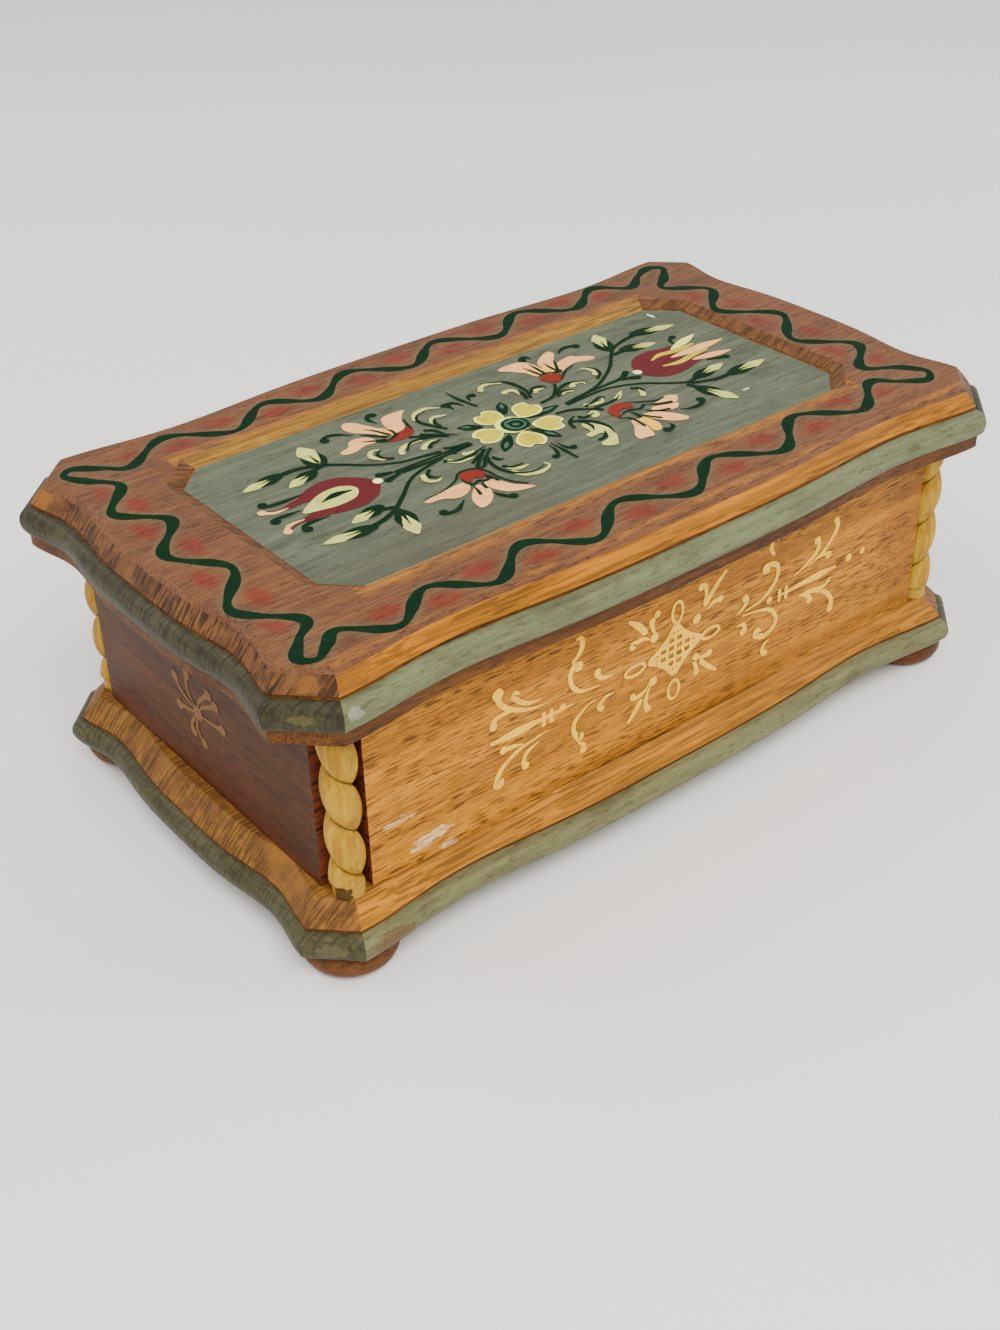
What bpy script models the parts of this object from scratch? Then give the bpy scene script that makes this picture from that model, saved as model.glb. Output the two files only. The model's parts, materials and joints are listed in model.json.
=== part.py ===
"""Painted wooden music box: a hinged, moulded lid over a jewellery compartment and a comb movement.

+X runs along the length, -Y is the painted front and +Z is up.
The origin is on the floor, midway between the four feet. Lengths are in metres.
"""
import math

import bmesh
import bpy
from mathutils import Matrix, Vector

MM = 0.001

# Fits shared by every piece
CLEARANCE = 0.3 * MM
OVERRUN = 1.0 * MM
MERGE_DISTANCE = 0.001 * MM
ROUND_SEGMENTS = 24
SMALL_ROUND_SEGMENTS = 12

# Feet
FOOT_HEIGHT = 5.7 * MM
FOOT_RADIUS = 10.0 * MM
FOOT_SOLE_RADIUS = 7.4 * MM
FOOT_TOP_RADIUS = 8.6 * MM
FOOT_INSET_X = 10.3 * MM
FOOT_INSET_Y = 9.0 * MM
FOOT_SEGMENTS = 20
FOOT_BULGE_STEPS = 4

# Base board
BASE_MARGIN_LENGTH = 6.5 * MM
BASE_MARGIN_WIDTH = 5.0 * MM
BASE_CANT = 7.6 * MM
BASE_THICKNESS = 11.0 * MM
BASE_BEAD_HEIGHT = 6.1 * MM
BASE_BEAD_NOSE = 2.6 * MM
BASE_FOOT_LIP = 0.5 * MM
BASE_STEP = 0.6 * MM
BASE_SLOPE_WIDTH = 4.2 * MM

# Serpentine edge of both boards
LONG_SIDE_DIP = 2.2 * MM
SHORT_SIDE_DIP = 2.2 * MM
DIP_POWER = 1.8
LONG_SIDE_STEPS = 18
SHORT_SIDE_STEPS = 12
BEAD_STEPS = 6

# Body of four panels, with notched corners, built round the movement and the compartment
COMPARTMENT_LENGTH = 103.3 * MM
BODY_HEIGHT = 40.7 * MM
PANEL_THICKNESS = 6.0 * MM
NOTCH_LENGTH = 7.7 * MM
NOTCH_WIDTH = 6.3 * MM
POST_SIDE = 8.0 * MM

# Twist columns
COLUMN_RADIUS = 3.8 * MM
COLUMN_GROOVE_RADIUS = 2.1 * MM
COLUMN_END_RADIUS = 3.2 * MM
COLUMN_END_LENGTH = 2.6 * MM
COLUMN_PITCH = 11.0 * MM
COLUMN_STEPS_PER_TURN = 10
COLUMN_SECTION_POINTS = 12
COLUMN_SWELL_POWER = 0.7

# Lid board
LID_OVERHANG_LENGTH = 8.7 * MM
LID_OVERHANG_WIDTH = 6.05 * MM
LID_CANT = 9.0 * MM
LID_THICKNESS = 14.5 * MM
LID_LIP_HEIGHT = 3.2 * MM
LID_LIP_REACH = 1.2 * MM
LID_BEAD_HEIGHT = 6.1 * MM
LID_BEAD_NOSE = 2.7 * MM
LID_STEP = 0.7 * MM
LID_SLOPE_WIDTH = 4.5 * MM
FRAME_LENGTH = 24.6 * MM
FRAME_WIDTH = 23.35 * MM
RECESS_CANT = 6.5 * MM
RECESS_SLOPE_WIDTH = 3.2 * MM
RECESS_DEPTH = 1.8 * MM

# Hinges
HINGE_END_DISTANCE = 34.3 * MM
HINGE_LENGTH = 22.0 * MM
HINGE_KNUCKLE_RADIUS = 2.0 * MM
HINGE_PIN_RADIUS = 0.65 * MM
HINGE_LEAF_THICKNESS = 0.9 * MM
HINGE_LEAF_SEAT = 1.0 * MM
HINGE_MIDDLE_KNUCKLE = 7.4 * MM
HINGE_TAB_INSET = 0.4 * MM
HINGE_SCREW_END = 4.5 * MM
HINGE_SCREW_HEAD_RADIUS = 1.6 * MM
HINGE_SCREW_HEAD_HEIGHT = 0.6 * MM
HINGE_SCREW_RADIUS = 0.8 * MM
HINGE_SCREW_LENGTH = 5.0 * MM

# Inside of the box
PARTITION_THICKNESS = 3.0 * MM
COVER_THICKNESS = 2.0 * MM
COVER_GAP = 6.3 * MM
CLEAT_SIDE = 4.0 * MM
LINING_THICKNESS = 1.5 * MM

# Movement: the winding axis is its reference, the cylinder runs towards +Y
MOVEMENT_END_GAP = 7.0 * MM
COMB_WALL_GAP = 1.5 * MM
PARTITION_GAP = 5.8 * MM
BEDPLATE_THICKNESS = 2.5 * MM
BEDPLATE_LEFT_MARGIN = 1.0 * MM
BEDPLATE_RIGHT_MARGIN = 2.7 * MM
BEDPLATE_FRONT_MARGIN = 0.7 * MM
BEDPLATE_BACK_MARGIN = 13.5 * MM

# Spring barrel
BARREL_RADIUS = 12.4 * MM
BARREL_HEIGHT = 13.4 * MM
BARREL_WALL = 0.8 * MM
BARREL_COVER_THICKNESS = 1.2 * MM
RING_GEAR_WIDTH = 3.1 * MM
RING_GEAR_TEETH = 32
RING_GEAR_RIM = 2.0 * MM
RING_TOOTH_HEIGHT = 1.8 * MM
TOOTH_ROOT_SHARE = 0.44
TOOTH_TIP_SHARE = 0.2
SPRING_TURNS = 5
SPRING_STEPS_PER_TURN = 14
SPRING_THICKNESS = 0.4 * MM
SPRING_INNER_RADIUS = 3.4 * MM

# Winding arbor and key
ARBOR_RADIUS = 1.5 * MM
ARBOR_HOLE_EASE = 0.5 * MM
KEY_GROUND_CLEARANCE = 1.4 * MM
KEY_HUB_RADIUS = 2.8 * MM
KEY_HUB_HEIGHT = 8.4 * MM
KEY_SOCKET_DEPTH = 6.0 * MM
KEY_WING_REACH = 9.5 * MM
KEY_WING_HEIGHT = 6.6 * MM
KEY_WING_THICKNESS = 1.6 * MM
KEY_EYE_SHARE = 0.55
KEY_RECESS_RADIUS = 18.0 * MM
KEY_RECESS_DEPTH = 5.0 * MM

# Cylinder, its gears and bridges
CYLINDER_PINION_RADIUS = 3.5 * MM
CYLINDER_PINION_TEETH = 8
CYLINDER_PINION_ADDENDUM = 0.7 * MM
CYLINDER_PINION_DEDENDUM = 1.0 * MM
CYLINDER_PINION_WIDTH = 2.2 * MM
CYLINDER_ARBOR_RADIUS = 1.2 * MM
CYLINDER_RADIUS = 6.0 * MM
CYLINDER_LENGTH = 22.0 * MM
WHEEL_RADIUS = 6.0 * MM
WHEEL_TEETH = 24
WHEEL_ADDENDUM = 0.4 * MM
WHEEL_DEDENDUM = 0.6 * MM
WHEEL_WIDTH = 1.2 * MM
WHEEL_SPACING = 0.7 * MM
BRIDGE_THICKNESS = 1.5 * MM
BRIDGE_FRONT_GAP = 0.7 * MM
BRIDGE_FRONT_MARGIN = 2.5 * MM
BRIDGE_BACK_MARGIN = 5.8 * MM
BRIDGE_HALF_WIDTH = 5.0 * MM
BRIDGE_HEAD = 4.5 * MM

# Comb
COMB_TEETH = 18
COMB_THICKNESS = 0.8 * MM
COMB_TIP_GAP = 0.8 * MM
COMB_TOOTH_LENGTH = 13.0 * MM
COMB_TAIL_LENGTH = 9.0 * MM
COMB_TOOTH_SHARE = 0.72
COMB_BLOCK_MARGIN = 2.2 * MM
COMB_SCREW_INSET = 4.0 * MM
COMB_SCREW_HEAD_RADIUS = 2.0 * MM
COMB_SCREW_HEAD_HEIGHT = 1.2 * MM
COMB_SCREW_RADIUS = 0.9 * MM
COMB_SCREW_LENGTH = 4.5 * MM

# Governor
GOVERNOR_PINION_TEETH = 8
GOVERNOR_MESH_DEGREES = 35.0
GOVERNOR_ARBOR_RADIUS = 0.6 * MM
GOVERNOR_WHEEL_TEETH = 12
GOVERNOR_WHEEL_RADIUS = 3.0 * MM
GOVERNOR_WHEEL_ADDENDUM = 0.25 * MM
GOVERNOR_WHEEL_DEDENDUM = 0.6 * MM
GOVERNOR_WHEEL_SPACING = 1.0 * MM
WORM_PITCH_RADIUS = 1.2 * MM
WORM_CORE_RADIUS = 0.6 * MM
WORM_THREAD_RADIUS = 1.5 * MM
WORM_TURNS = 3
WORM_STEPS_PER_TURN = 8
WORM_SECTION_POINTS = 10
WORM_THREAD_SHARE = 0.35
BRACKET_THICKNESS = 1.2 * MM
BRACKET_POST_THICKNESS = 1.5 * MM
BRACKET_HALF_WIDTH = 2.5 * MM
FAN_RADIUS = 4.0 * MM
FAN_HEIGHT = 5.5 * MM
FAN_BLADE_THICKNESS = 0.5 * MM
FAN_HUB_RADIUS = 1.6 * MM

# Stop plunger
PLUNGER_RADIUS = 0.8 * MM
PLUNGER_TRAVEL = 3.0 * MM
PLUNGER_FAN_GAP = 0.5 * MM
PLUNGER_FINGER_HEIGHT = 3.0 * MM
PLUNGER_FINGER_HALF_WIDTH = 1.2 * MM
PLUNGER_FINGER_LENGTH = 2.1 * MM

# Screws that hold the movement from below
MOVEMENT_SCREW_HEAD_RADIUS = 2.2 * MM
MOVEMENT_SCREW_HEAD_HEIGHT = 1.6 * MM
MOVEMENT_SCREW_RADIUS = 1.2 * MM
MOVEMENT_SCREW_SINK = 0.8 * MM
MOVEMENT_SCREW_INSET = 4.0 * MM

# Lengths of the movement, from its winding axis
RING_GEAR_RADIUS = BARREL_RADIUS + RING_GEAR_WIDTH
BRIDGE_FRONT_START = RING_GEAR_RADIUS + BRIDGE_FRONT_GAP
CYLINDER_START = BRIDGE_FRONT_START + BRIDGE_FRONT_MARGIN
BEDPLATE_LEFT = RING_GEAR_RADIUS + BEDPLATE_LEFT_MARGIN
BEDPLATE_RIGHT = RING_GEAR_RADIUS + BEDPLATE_RIGHT_MARGIN
BEDPLATE_FRONT = RING_GEAR_RADIUS + BEDPLATE_FRONT_MARGIN
BEDPLATE_BACK = CYLINDER_START + CYLINDER_LENGTH + BEDPLATE_BACK_MARGIN
BRIDGE_BACK_START = CYLINDER_START + CYLINDER_LENGTH + BRIDGE_BACK_MARGIN
COMB_REACH = COMB_TAIL_LENGTH + COMB_TOOTH_LENGTH + COMB_TIP_GAP + CYLINDER_RADIUS

# Overall sizes, from the inside out
INNER_HALF_LENGTH = (COMB_WALL_GAP + COMB_REACH + BEDPLATE_RIGHT + PARTITION_GAP
                     + PARTITION_THICKNESS + COMPARTMENT_LENGTH) / 2
INNER_HALF_WIDTH = MOVEMENT_END_GAP + (BEDPLATE_FRONT + BEDPLATE_BACK) / 2
BODY_HALF_LENGTH = INNER_HALF_LENGTH + PANEL_THICKNESS
BODY_HALF_WIDTH = INNER_HALF_WIDTH + PANEL_THICKNESS
BASE_HALF_LENGTH = BODY_HALF_LENGTH + BASE_MARGIN_LENGTH
BASE_HALF_WIDTH = BODY_HALF_WIDTH + BASE_MARGIN_WIDTH
LID_HALF_LENGTH = BODY_HALF_LENGTH + LID_OVERHANG_LENGTH
LID_HALF_WIDTH = BODY_HALF_WIDTH + LID_OVERHANG_WIDTH
RECESS_HALF_LENGTH = LID_HALF_LENGTH - FRAME_LENGTH
RECESS_HALF_WIDTH = LID_HALF_WIDTH - FRAME_WIDTH
HINGE_X = BODY_HALF_LENGTH - HINGE_END_DISTANCE
HINGE_SCREW_SPACING = HINGE_LENGTH - 2 * HINGE_SCREW_END
MOVEMENT_X = -INNER_HALF_LENGTH + COMB_WALL_GAP + COMB_REACH
MOVEMENT_Y = -INNER_HALF_WIDTH + MOVEMENT_END_GAP + BEDPLATE_FRONT
PARTITION_X = MOVEMENT_X + BEDPLATE_RIGHT + PARTITION_GAP

# Levels, from the floor up
BASE_BOTTOM = FOOT_HEIGHT + CLEARANCE
BASE_TOP = BASE_BOTTOM + BASE_THICKNESS
BODY_BOTTOM = BASE_TOP + CLEARANCE
BODY_TOP = BODY_BOTTOM + BODY_HEIGHT
LID_BOTTOM = BODY_TOP + CLEARANCE
LID_TOP = LID_BOTTOM + LID_THICKNESS
BEDPLATE_BOTTOM = BASE_TOP + CLEARANCE
BEDPLATE_TOP = BEDPLATE_BOTTOM + BEDPLATE_THICKNESS
BARREL_COVER_BOTTOM = BEDPLATE_TOP + CLEARANCE
BARREL_BOTTOM = BARREL_COVER_BOTTOM + BARREL_COVER_THICKNESS + CLEARANCE
BARREL_TOP = BARREL_BOTTOM + BARREL_HEIGHT
RING_ROOT = BARREL_COVER_BOTTOM + RING_GEAR_RIM
CYLINDER_Z = RING_ROOT + RING_TOOTH_HEIGHT / 2 + CYLINDER_PINION_RADIUS
HINGE_Z = (BODY_TOP + LID_BOTTOM) / 2
HINGE_Y = BODY_HALF_WIDTH + HINGE_KNUCKLE_RADIUS + CLEARANCE

# Places that several pieces share
POST_X = INNER_HALF_LENGTH - CLEARANCE - POST_SIDE / 2
POST_Y = INNER_HALF_WIDTH - CLEARANCE - POST_SIDE / 2
COLUMN_X = BODY_HALF_LENGTH - NOTCH_LENGTH + CLEARANCE + COLUMN_RADIUS
COLUMN_Y = BODY_HALF_WIDTH - NOTCH_WIDTH + CLEARANCE + COLUMN_RADIUS
WHEEL_START = MOVEMENT_Y + CYLINDER_START + CYLINDER_LENGTH + WHEEL_SPACING
GOVERNOR_PINION_RADIUS = WHEEL_RADIUS * GOVERNOR_PINION_TEETH / WHEEL_TEETH
GOVERNOR_REACH = WHEEL_RADIUS + GOVERNOR_PINION_RADIUS
GOVERNOR_X = MOVEMENT_X + GOVERNOR_REACH * math.cos(math.radians(GOVERNOR_MESH_DEGREES))
GOVERNOR_Z = CYLINDER_Z + GOVERNOR_REACH * math.sin(math.radians(GOVERNOR_MESH_DEGREES))
GOVERNOR_WHEEL_START = WHEEL_START + WHEEL_WIDTH + GOVERNOR_WHEEL_SPACING
WORM_X = GOVERNOR_X + GOVERNOR_WHEEL_RADIUS + WORM_PITCH_RADIUS
WORM_Y = GOVERNOR_WHEEL_START + WHEEL_WIDTH / 2
WORM_PITCH = 2 * math.pi * GOVERNOR_WHEEL_RADIUS / GOVERNOR_WHEEL_TEETH
WORM_HALF_LENGTH = WORM_TURNS * WORM_PITCH / 2
BRACKET_TOP = GOVERNOR_Z + WORM_HALF_LENGTH + WORM_PITCH + BRACKET_THICKNESS
FAN_BOTTOM = BRACKET_TOP + CLEARANCE
COVER_BOTTOM = FAN_BOTTOM + FAN_HEIGHT + COVER_GAP
CLEAT_TOP = COVER_BOTTOM - CLEARANCE
BRACKET_POST_X = WORM_X + FAN_RADIUS + PLUNGER_FAN_GAP
PLUNGER_Y = WORM_Y + FAN_RADIUS + PLUNGER_FAN_GAP + PLUNGER_FINGER_LENGTH
PLUNGER_BOTTOM = BRACKET_TOP - BRACKET_THICKNESS - PLUNGER_TRAVEL - OVERRUN
COMB_TIP_X = MOVEMENT_X - CYLINDER_RADIUS - COMB_TIP_GAP
COMB_ROOT_X = COMB_TIP_X - COMB_TOOTH_LENGTH
COMB_TAIL_X = COMB_ROOT_X - COMB_TAIL_LENGTH
COMB_START_Y = MOVEMENT_Y + CYLINDER_START
COMB_END_Y = COMB_START_Y + CYLINDER_LENGTH
COMB_BOTTOM = CYLINDER_Z - COMB_THICKNESS / 2
COMB_BLOCK_TOP = COMB_BOTTOM - CLEARANCE

parts = None
cutters = None


def start_scene():
    """Empty the scene and make the two collections."""
    global parts, cutters
    for item in list(bpy.data.objects):
        bpy.data.objects.remove(item, do_unlink=True)
    parts = bpy.data.collections.new("painted_music_box")
    cutters = bpy.data.collections.new("cutters")
    bpy.context.scene.collection.children.link(parts)
    bpy.context.scene.collection.children.link(cutters)


def finish(name, colour, roughness, metallic=0.0, alpha=1.0):
    """A Principled material."""
    material = bpy.data.materials.new(name)
    material.use_nodes = True
    shader = material.node_tree.nodes["Principled BSDF"]
    shader.inputs["Base Color"].default_value = (*colour, 1.0)
    shader.inputs["Roughness"].default_value = roughness
    shader.inputs["Metallic"].default_value = metallic
    shader.inputs["Alpha"].default_value = alpha
    return material


def place(name, mesh, material, location=(0, 0, 0), rotation=(0, 0, 0)):
    """Put a mesh in the parts collection as a named piece."""
    piece = bpy.data.objects.new(name, mesh)
    piece.location = location
    piece.rotation_euler = rotation
    parts.objects.link(piece)
    mesh.materials.clear()
    mesh.materials.append(material)
    return piece


def as_cutter(piece):
    """Move a piece to the cutters collection."""
    parts.objects.unlink(piece)
    cutters.objects.link(piece)
    piece.hide_render = True
    piece.display_type = "WIRE"
    return piece


def boolean(piece, tool, operation="DIFFERENCE"):
    """Cut a piece with a tool, or join the tool to it."""
    modifier = piece.modifiers.new(tool.name, "BOOLEAN")
    modifier.operation = operation
    modifier.solver = "EXACT"
    modifier.object = tool
    return piece


def box(name, material, low, high):
    """A box piece between two corners, with its origin at its centre."""
    low = Vector(low)
    high = Vector(high)
    bm = bmesh.new()
    bmesh.ops.create_cube(bm, size=1)
    bmesh.ops.scale(bm, vec=high - low, verts=bm.verts)
    mesh = bpy.data.meshes.new(name)
    bm.to_mesh(mesh)
    bm.free()
    return place(name, mesh, material, (low + high) / 2)


def turned(name, material, profile, location=(0, 0, 0), rotation=(0, 0, 0), segments=ROUND_SEGMENTS, closed=False):
    """A turned piece: a profile of (radius, height), top to bottom down its outer side."""
    bm = bmesh.new()
    points = [bm.verts.new((radius, 0, height)) for radius, height in profile]
    pairs = list(zip(points, points[1:]))
    if closed:
        pairs.append((points[-1], points[0]))
    for first, second in pairs:
        bm.edges.new((first, second))
    mesh = bpy.data.meshes.new(name)
    bm.to_mesh(mesh)
    bm.free()
    mesh.shade_smooth()
    piece = place(name, mesh, material, location, rotation)
    screw = piece.modifiers.new("turning", "SCREW")
    screw.steps = segments
    screw.render_steps = segments
    screw.use_merge_vertices = True
    screw.merge_threshold = MERGE_DISTANCE
    return piece


def cylinder(name, material, radius, height, location=(0, 0, 0), rotation=(0, 0, 0), segments=ROUND_SEGMENTS):
    """A plain round bar that stands on its location."""
    profile = [(0, height), (radius, height), (radius, 0), (0, 0)]
    return turned(name, material, profile, location, rotation, segments)


def plate(name, material, outlines, thickness, location=(0, 0, 0), rotation=(0, 0, 0)):
    """A flat plate that stands on its location: the first outline is its edge, the others are holes."""
    curve = bpy.data.curves.new(name, "CURVE")
    curve.dimensions = "2D"
    curve.fill_mode = "BOTH"
    curve.extrude = thickness / 2
    for outline in outlines:
        spline = curve.splines.new("POLY")
        spline.points.add(len(outline) - 1)
        spline.use_cyclic_u = True
        for point, (x, y) in zip(spline.points, outline):
            point.co = (x, y, 0, 1)
    draft = bpy.data.objects.new(name, curve)
    parts.objects.link(draft)
    graph = bpy.context.evaluated_depsgraph_get()
    mesh = bpy.data.meshes.new_from_object(draft.evaluated_get(graph))
    bpy.data.objects.remove(draft, do_unlink=True)
    bpy.data.curves.remove(curve)
    bm = bmesh.new()
    bm.from_mesh(mesh)
    bmesh.ops.remove_doubles(bm, verts=bm.verts, dist=MERGE_DISTANCE)
    bmesh.ops.recalc_face_normals(bm, faces=bm.faces)
    bmesh.ops.translate(bm, vec=(0, 0, thickness / 2), verts=bm.verts)
    bm.to_mesh(mesh)
    bm.free()
    mesh.name = name
    return place(name, mesh, material, location, rotation)


def loft(name, material, rings, location=(0, 0, 0), closed=False):
    """A skin through rings of equally many points, capped at both ends unless it closes on itself."""
    bm = bmesh.new()
    loops = [[bm.verts.new(point) for point in ring] for ring in rings]
    count = len(rings[0])
    pairs = list(zip(loops, loops[1:]))
    if closed:
        pairs.append((loops[-1], loops[0]))
    for lower, upper in pairs:
        for i in range(count):
            j = (i + 1) % count
            bm.faces.new((lower[i], lower[j], upper[j], upper[i]))
    if not closed:
        bm.faces.new(list(reversed(loops[0])))
        bm.faces.new(loops[-1])
    bmesh.ops.recalc_face_normals(bm, faces=bm.faces)
    mesh = bpy.data.meshes.new(name)
    bm.to_mesh(mesh)
    bm.free()
    return place(name, mesh, material, location)


def circle(radius, segments=SMALL_ROUND_SEGMENTS, centre=(0, 0)):
    """Points of a circle, set half a step round so that none lies level with its centre."""
    turns = [2 * math.pi * (i + 0.5) / segments for i in range(segments)]
    return [(centre[0] + radius * math.cos(t), centre[1] + radius * math.sin(t)) for t in turns]


def rectangle(x0, x1, y0, y1):
    """Corner points of a rectangle."""
    return [(x0, y0), (x1, y0), (x1, y1), (x0, y1)]


def octagon(half_length, half_width, cant):
    """A rectangle with canted corners, anticlockwise."""
    x, y = half_length, half_width
    return [(x, -y + cant), (x, y - cant), (x - cant, y), (-x + cant, y),
            (-x, y - cant), (-x, -y + cant), (-x + cant, -y), (x - cant, -y)]


def serpentine_outline(half_length, half_width, cant):
    """A canted rectangle whose sides dip twice and swell back to the corner line in the middle."""
    corners = octagon(half_length, half_width, cant)
    points = []
    for side in range(4):
        start = Vector(corners[2 * side])
        end = Vector(corners[2 * side + 1])
        short = side % 2 == 0
        steps = SHORT_SIDE_STEPS if short else LONG_SIDE_STEPS
        dip = SHORT_SIDE_DIP if short else LONG_SIDE_DIP
        along = (end - start).normalized()
        inward = Vector((-along.y, along.x))
        for i in range(steps + 1):
            share = abs(2 * i / steps - 1)
            depth = dip * math.sin(math.pi * share ** DIP_POWER) ** 2
            points.append(start.lerp(end, i / steps) + inward * depth)
    return points


def offset_outline(points, reach):
    """The same outline moved outwards by reach, with mitred corners."""
    moved = []
    count = len(points)
    for i, point in enumerate(points):
        before = (point - points[i - 1]).normalized()
        after = (points[(i + 1) % count] - point).normalized()
        normal_before = Vector((before.y, -before.x))
        normal_after = Vector((after.y, -after.x))
        mitre = (normal_before + normal_after) / (1 + normal_before.dot(normal_after))
        moved.append(point + mitre * reach)
    return moved


def moulded_board(name, material, outline, profile):
    """A board whose edge follows a profile of (reach beyond the outline, height), bottom to top."""
    rings = []
    for reach, height in profile:
        rings.append([(p.x, p.y, height) for p in offset_outline(outline, reach)])
    return loft(name, material, rings)


def bead_profile(bottom, height, nose, lower_reach):
    """The round nose of a board's edge, bottom to top, from lower_reach out and back to the outline."""
    points = []
    for i in range(BEAD_STEPS + 1):
        angle = math.pi * (i / BEAD_STEPS - 0.5)
        root = lower_reach if angle < 0 else 0
        points.append((root + (nose - root) * math.cos(angle), bottom + height * (1 + math.sin(angle)) / 2))
    return points


def gear_outline(teeth, radius, addendum, dedendum, phase):
    """A toothed outline with a tooth centred on the phase angle."""
    points = []
    step = 2 * math.pi / teeth
    for tooth in range(teeth):
        middle = phase + tooth * step
        root = step * TOOTH_ROOT_SHARE / 2
        tip = step * TOOTH_TIP_SHARE / 2
        for angle, reach in ((-root, -dedendum), (-tip, addendum), (tip, addendum), (root, -dedendum)):
            turn = middle + angle
            points.append(((radius + reach) * math.cos(turn), (radius + reach) * math.sin(turn)))
    return points


def finishes():
    """The finish of every kind of piece."""
    return {
        "lid": finish("painted_lid_oak", (0.36, 0.16, 0.09), 0.6),
        "body": finish("oiled_oak", (0.48, 0.24, 0.07), 0.55),
        "base": finish("moulded_oak", (0.42, 0.21, 0.07), 0.6),
        "post": finish("stained_post", (0.07, 0.02, 0.02), 0.7),
        "column": finish("pale_turned_wood", (0.66, 0.47, 0.18), 0.5),
        "foot": finish("red_brown_foot", (0.26, 0.1, 0.06), 0.6),
        "brass": finish("brass", (0.7, 0.52, 0.22), 0.3, 1.0),
        "steel": finish("steel", (0.55, 0.55, 0.56), 0.35, 1.0),
        "nickel": finish("nickel_plate", (0.62, 0.6, 0.56), 0.3, 1.0),
        "inner": finish("plain_inner_wood", (0.5, 0.3, 0.13), 0.65),
        "felt": finish("red_felt", (0.3, 0.02, 0.03), 0.95),
        "clear": finish("clear_cover", (0.9, 0.92, 0.92), 0.08, 0.0, 0.25),
        "plastic": finish("dark_plastic", (0.04, 0.04, 0.05), 0.4),
    }


def corner_sides():
    """The four corners with their names and signs along X and Y."""
    for y_name, y_side in (("front", -1), ("back", 1)):
        for x_name, x_side in (("left", -1), ("right", 1)):
            yield y_name + "_" + x_name, x_side, y_side


def build_feet(look):
    """Four turned discs under the base board."""
    middle = FOOT_HEIGHT / 2
    profile = [(0, FOOT_HEIGHT)]
    for step in range(FOOT_BULGE_STEPS + 1):
        turn = math.pi * (0.5 - step / FOOT_BULGE_STEPS)
        end = FOOT_TOP_RADIUS if turn > 0 else FOOT_SOLE_RADIUS
        profile.append((end + (FOOT_RADIUS - end) * math.cos(turn), middle + middle * math.sin(turn)))
    profile.append((0, 0))
    for name, x_side, y_side in corner_sides():
        place_at = (x_side * (BASE_HALF_LENGTH - FOOT_INSET_X), y_side * (BASE_HALF_WIDTH - FOOT_INSET_Y), 0)
        turned("foot_" + name, look["foot"], profile, place_at, segments=FOOT_SEGMENTS)


def movement_screw_places():
    """Where the two screws come up through the base board into the bedplate."""
    return [
        (MOVEMENT_X - BEDPLATE_LEFT + MOVEMENT_SCREW_INSET, MOVEMENT_Y + BEDPLATE_BACK - MOVEMENT_SCREW_INSET),
        (COMB_TAIL_X + MOVEMENT_SCREW_INSET, COMB_START_Y - COMB_BLOCK_MARGIN + MOVEMENT_SCREW_INSET),
    ]


def build_base_board(look):
    """Moulded base board with the key's recess and the movement screws' holes."""
    outline = serpentine_outline(BASE_HALF_LENGTH, BASE_HALF_WIDTH, BASE_CANT)
    profile = bead_profile(BASE_BOTTOM, BASE_BEAD_HEIGHT, BASE_BEAD_NOSE, BASE_FOOT_LIP)
    profile.append((0, BASE_BOTTOM + BASE_BEAD_HEIGHT + BASE_STEP))
    profile.append((-BASE_SLOPE_WIDTH, BASE_TOP))
    board = moulded_board("base_board", look["base"], outline, profile)
    hole = ARBOR_RADIUS + ARBOR_HOLE_EASE
    recess_top = BASE_BOTTOM + KEY_RECESS_DEPTH
    key_cut = [(0, BASE_TOP + OVERRUN), (hole, BASE_TOP + OVERRUN), (hole, recess_top),
               (KEY_RECESS_RADIUS, recess_top), (KEY_RECESS_RADIUS, BASE_BOTTOM - OVERRUN),
               (0, BASE_BOTTOM - OVERRUN)]
    cutter = as_cutter(turned("key_recess_cut", look["base"], key_cut, (MOVEMENT_X, MOVEMENT_Y, 0)))
    boolean(board, cutter)
    shank = MOVEMENT_SCREW_RADIUS + CLEARANCE
    head = MOVEMENT_SCREW_HEAD_RADIUS + CLEARANCE
    seat = BASE_BOTTOM + MOVEMENT_SCREW_SINK + MOVEMENT_SCREW_HEAD_HEIGHT + CLEARANCE
    screw_cut = [(0, BASE_TOP + OVERRUN), (shank, BASE_TOP + OVERRUN), (shank, seat), (head, seat),
                 (head, BASE_BOTTOM - OVERRUN), (0, BASE_BOTTOM - OVERRUN)]
    for number, (x, y) in enumerate(movement_screw_places(), 1):
        name = "movement_screw_cut_" + str(number)
        cutter = turned(name, look["base"], screw_cut, (x, y, 0), segments=SMALL_ROUND_SEGMENTS)
        boolean(board, as_cutter(cutter))


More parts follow.
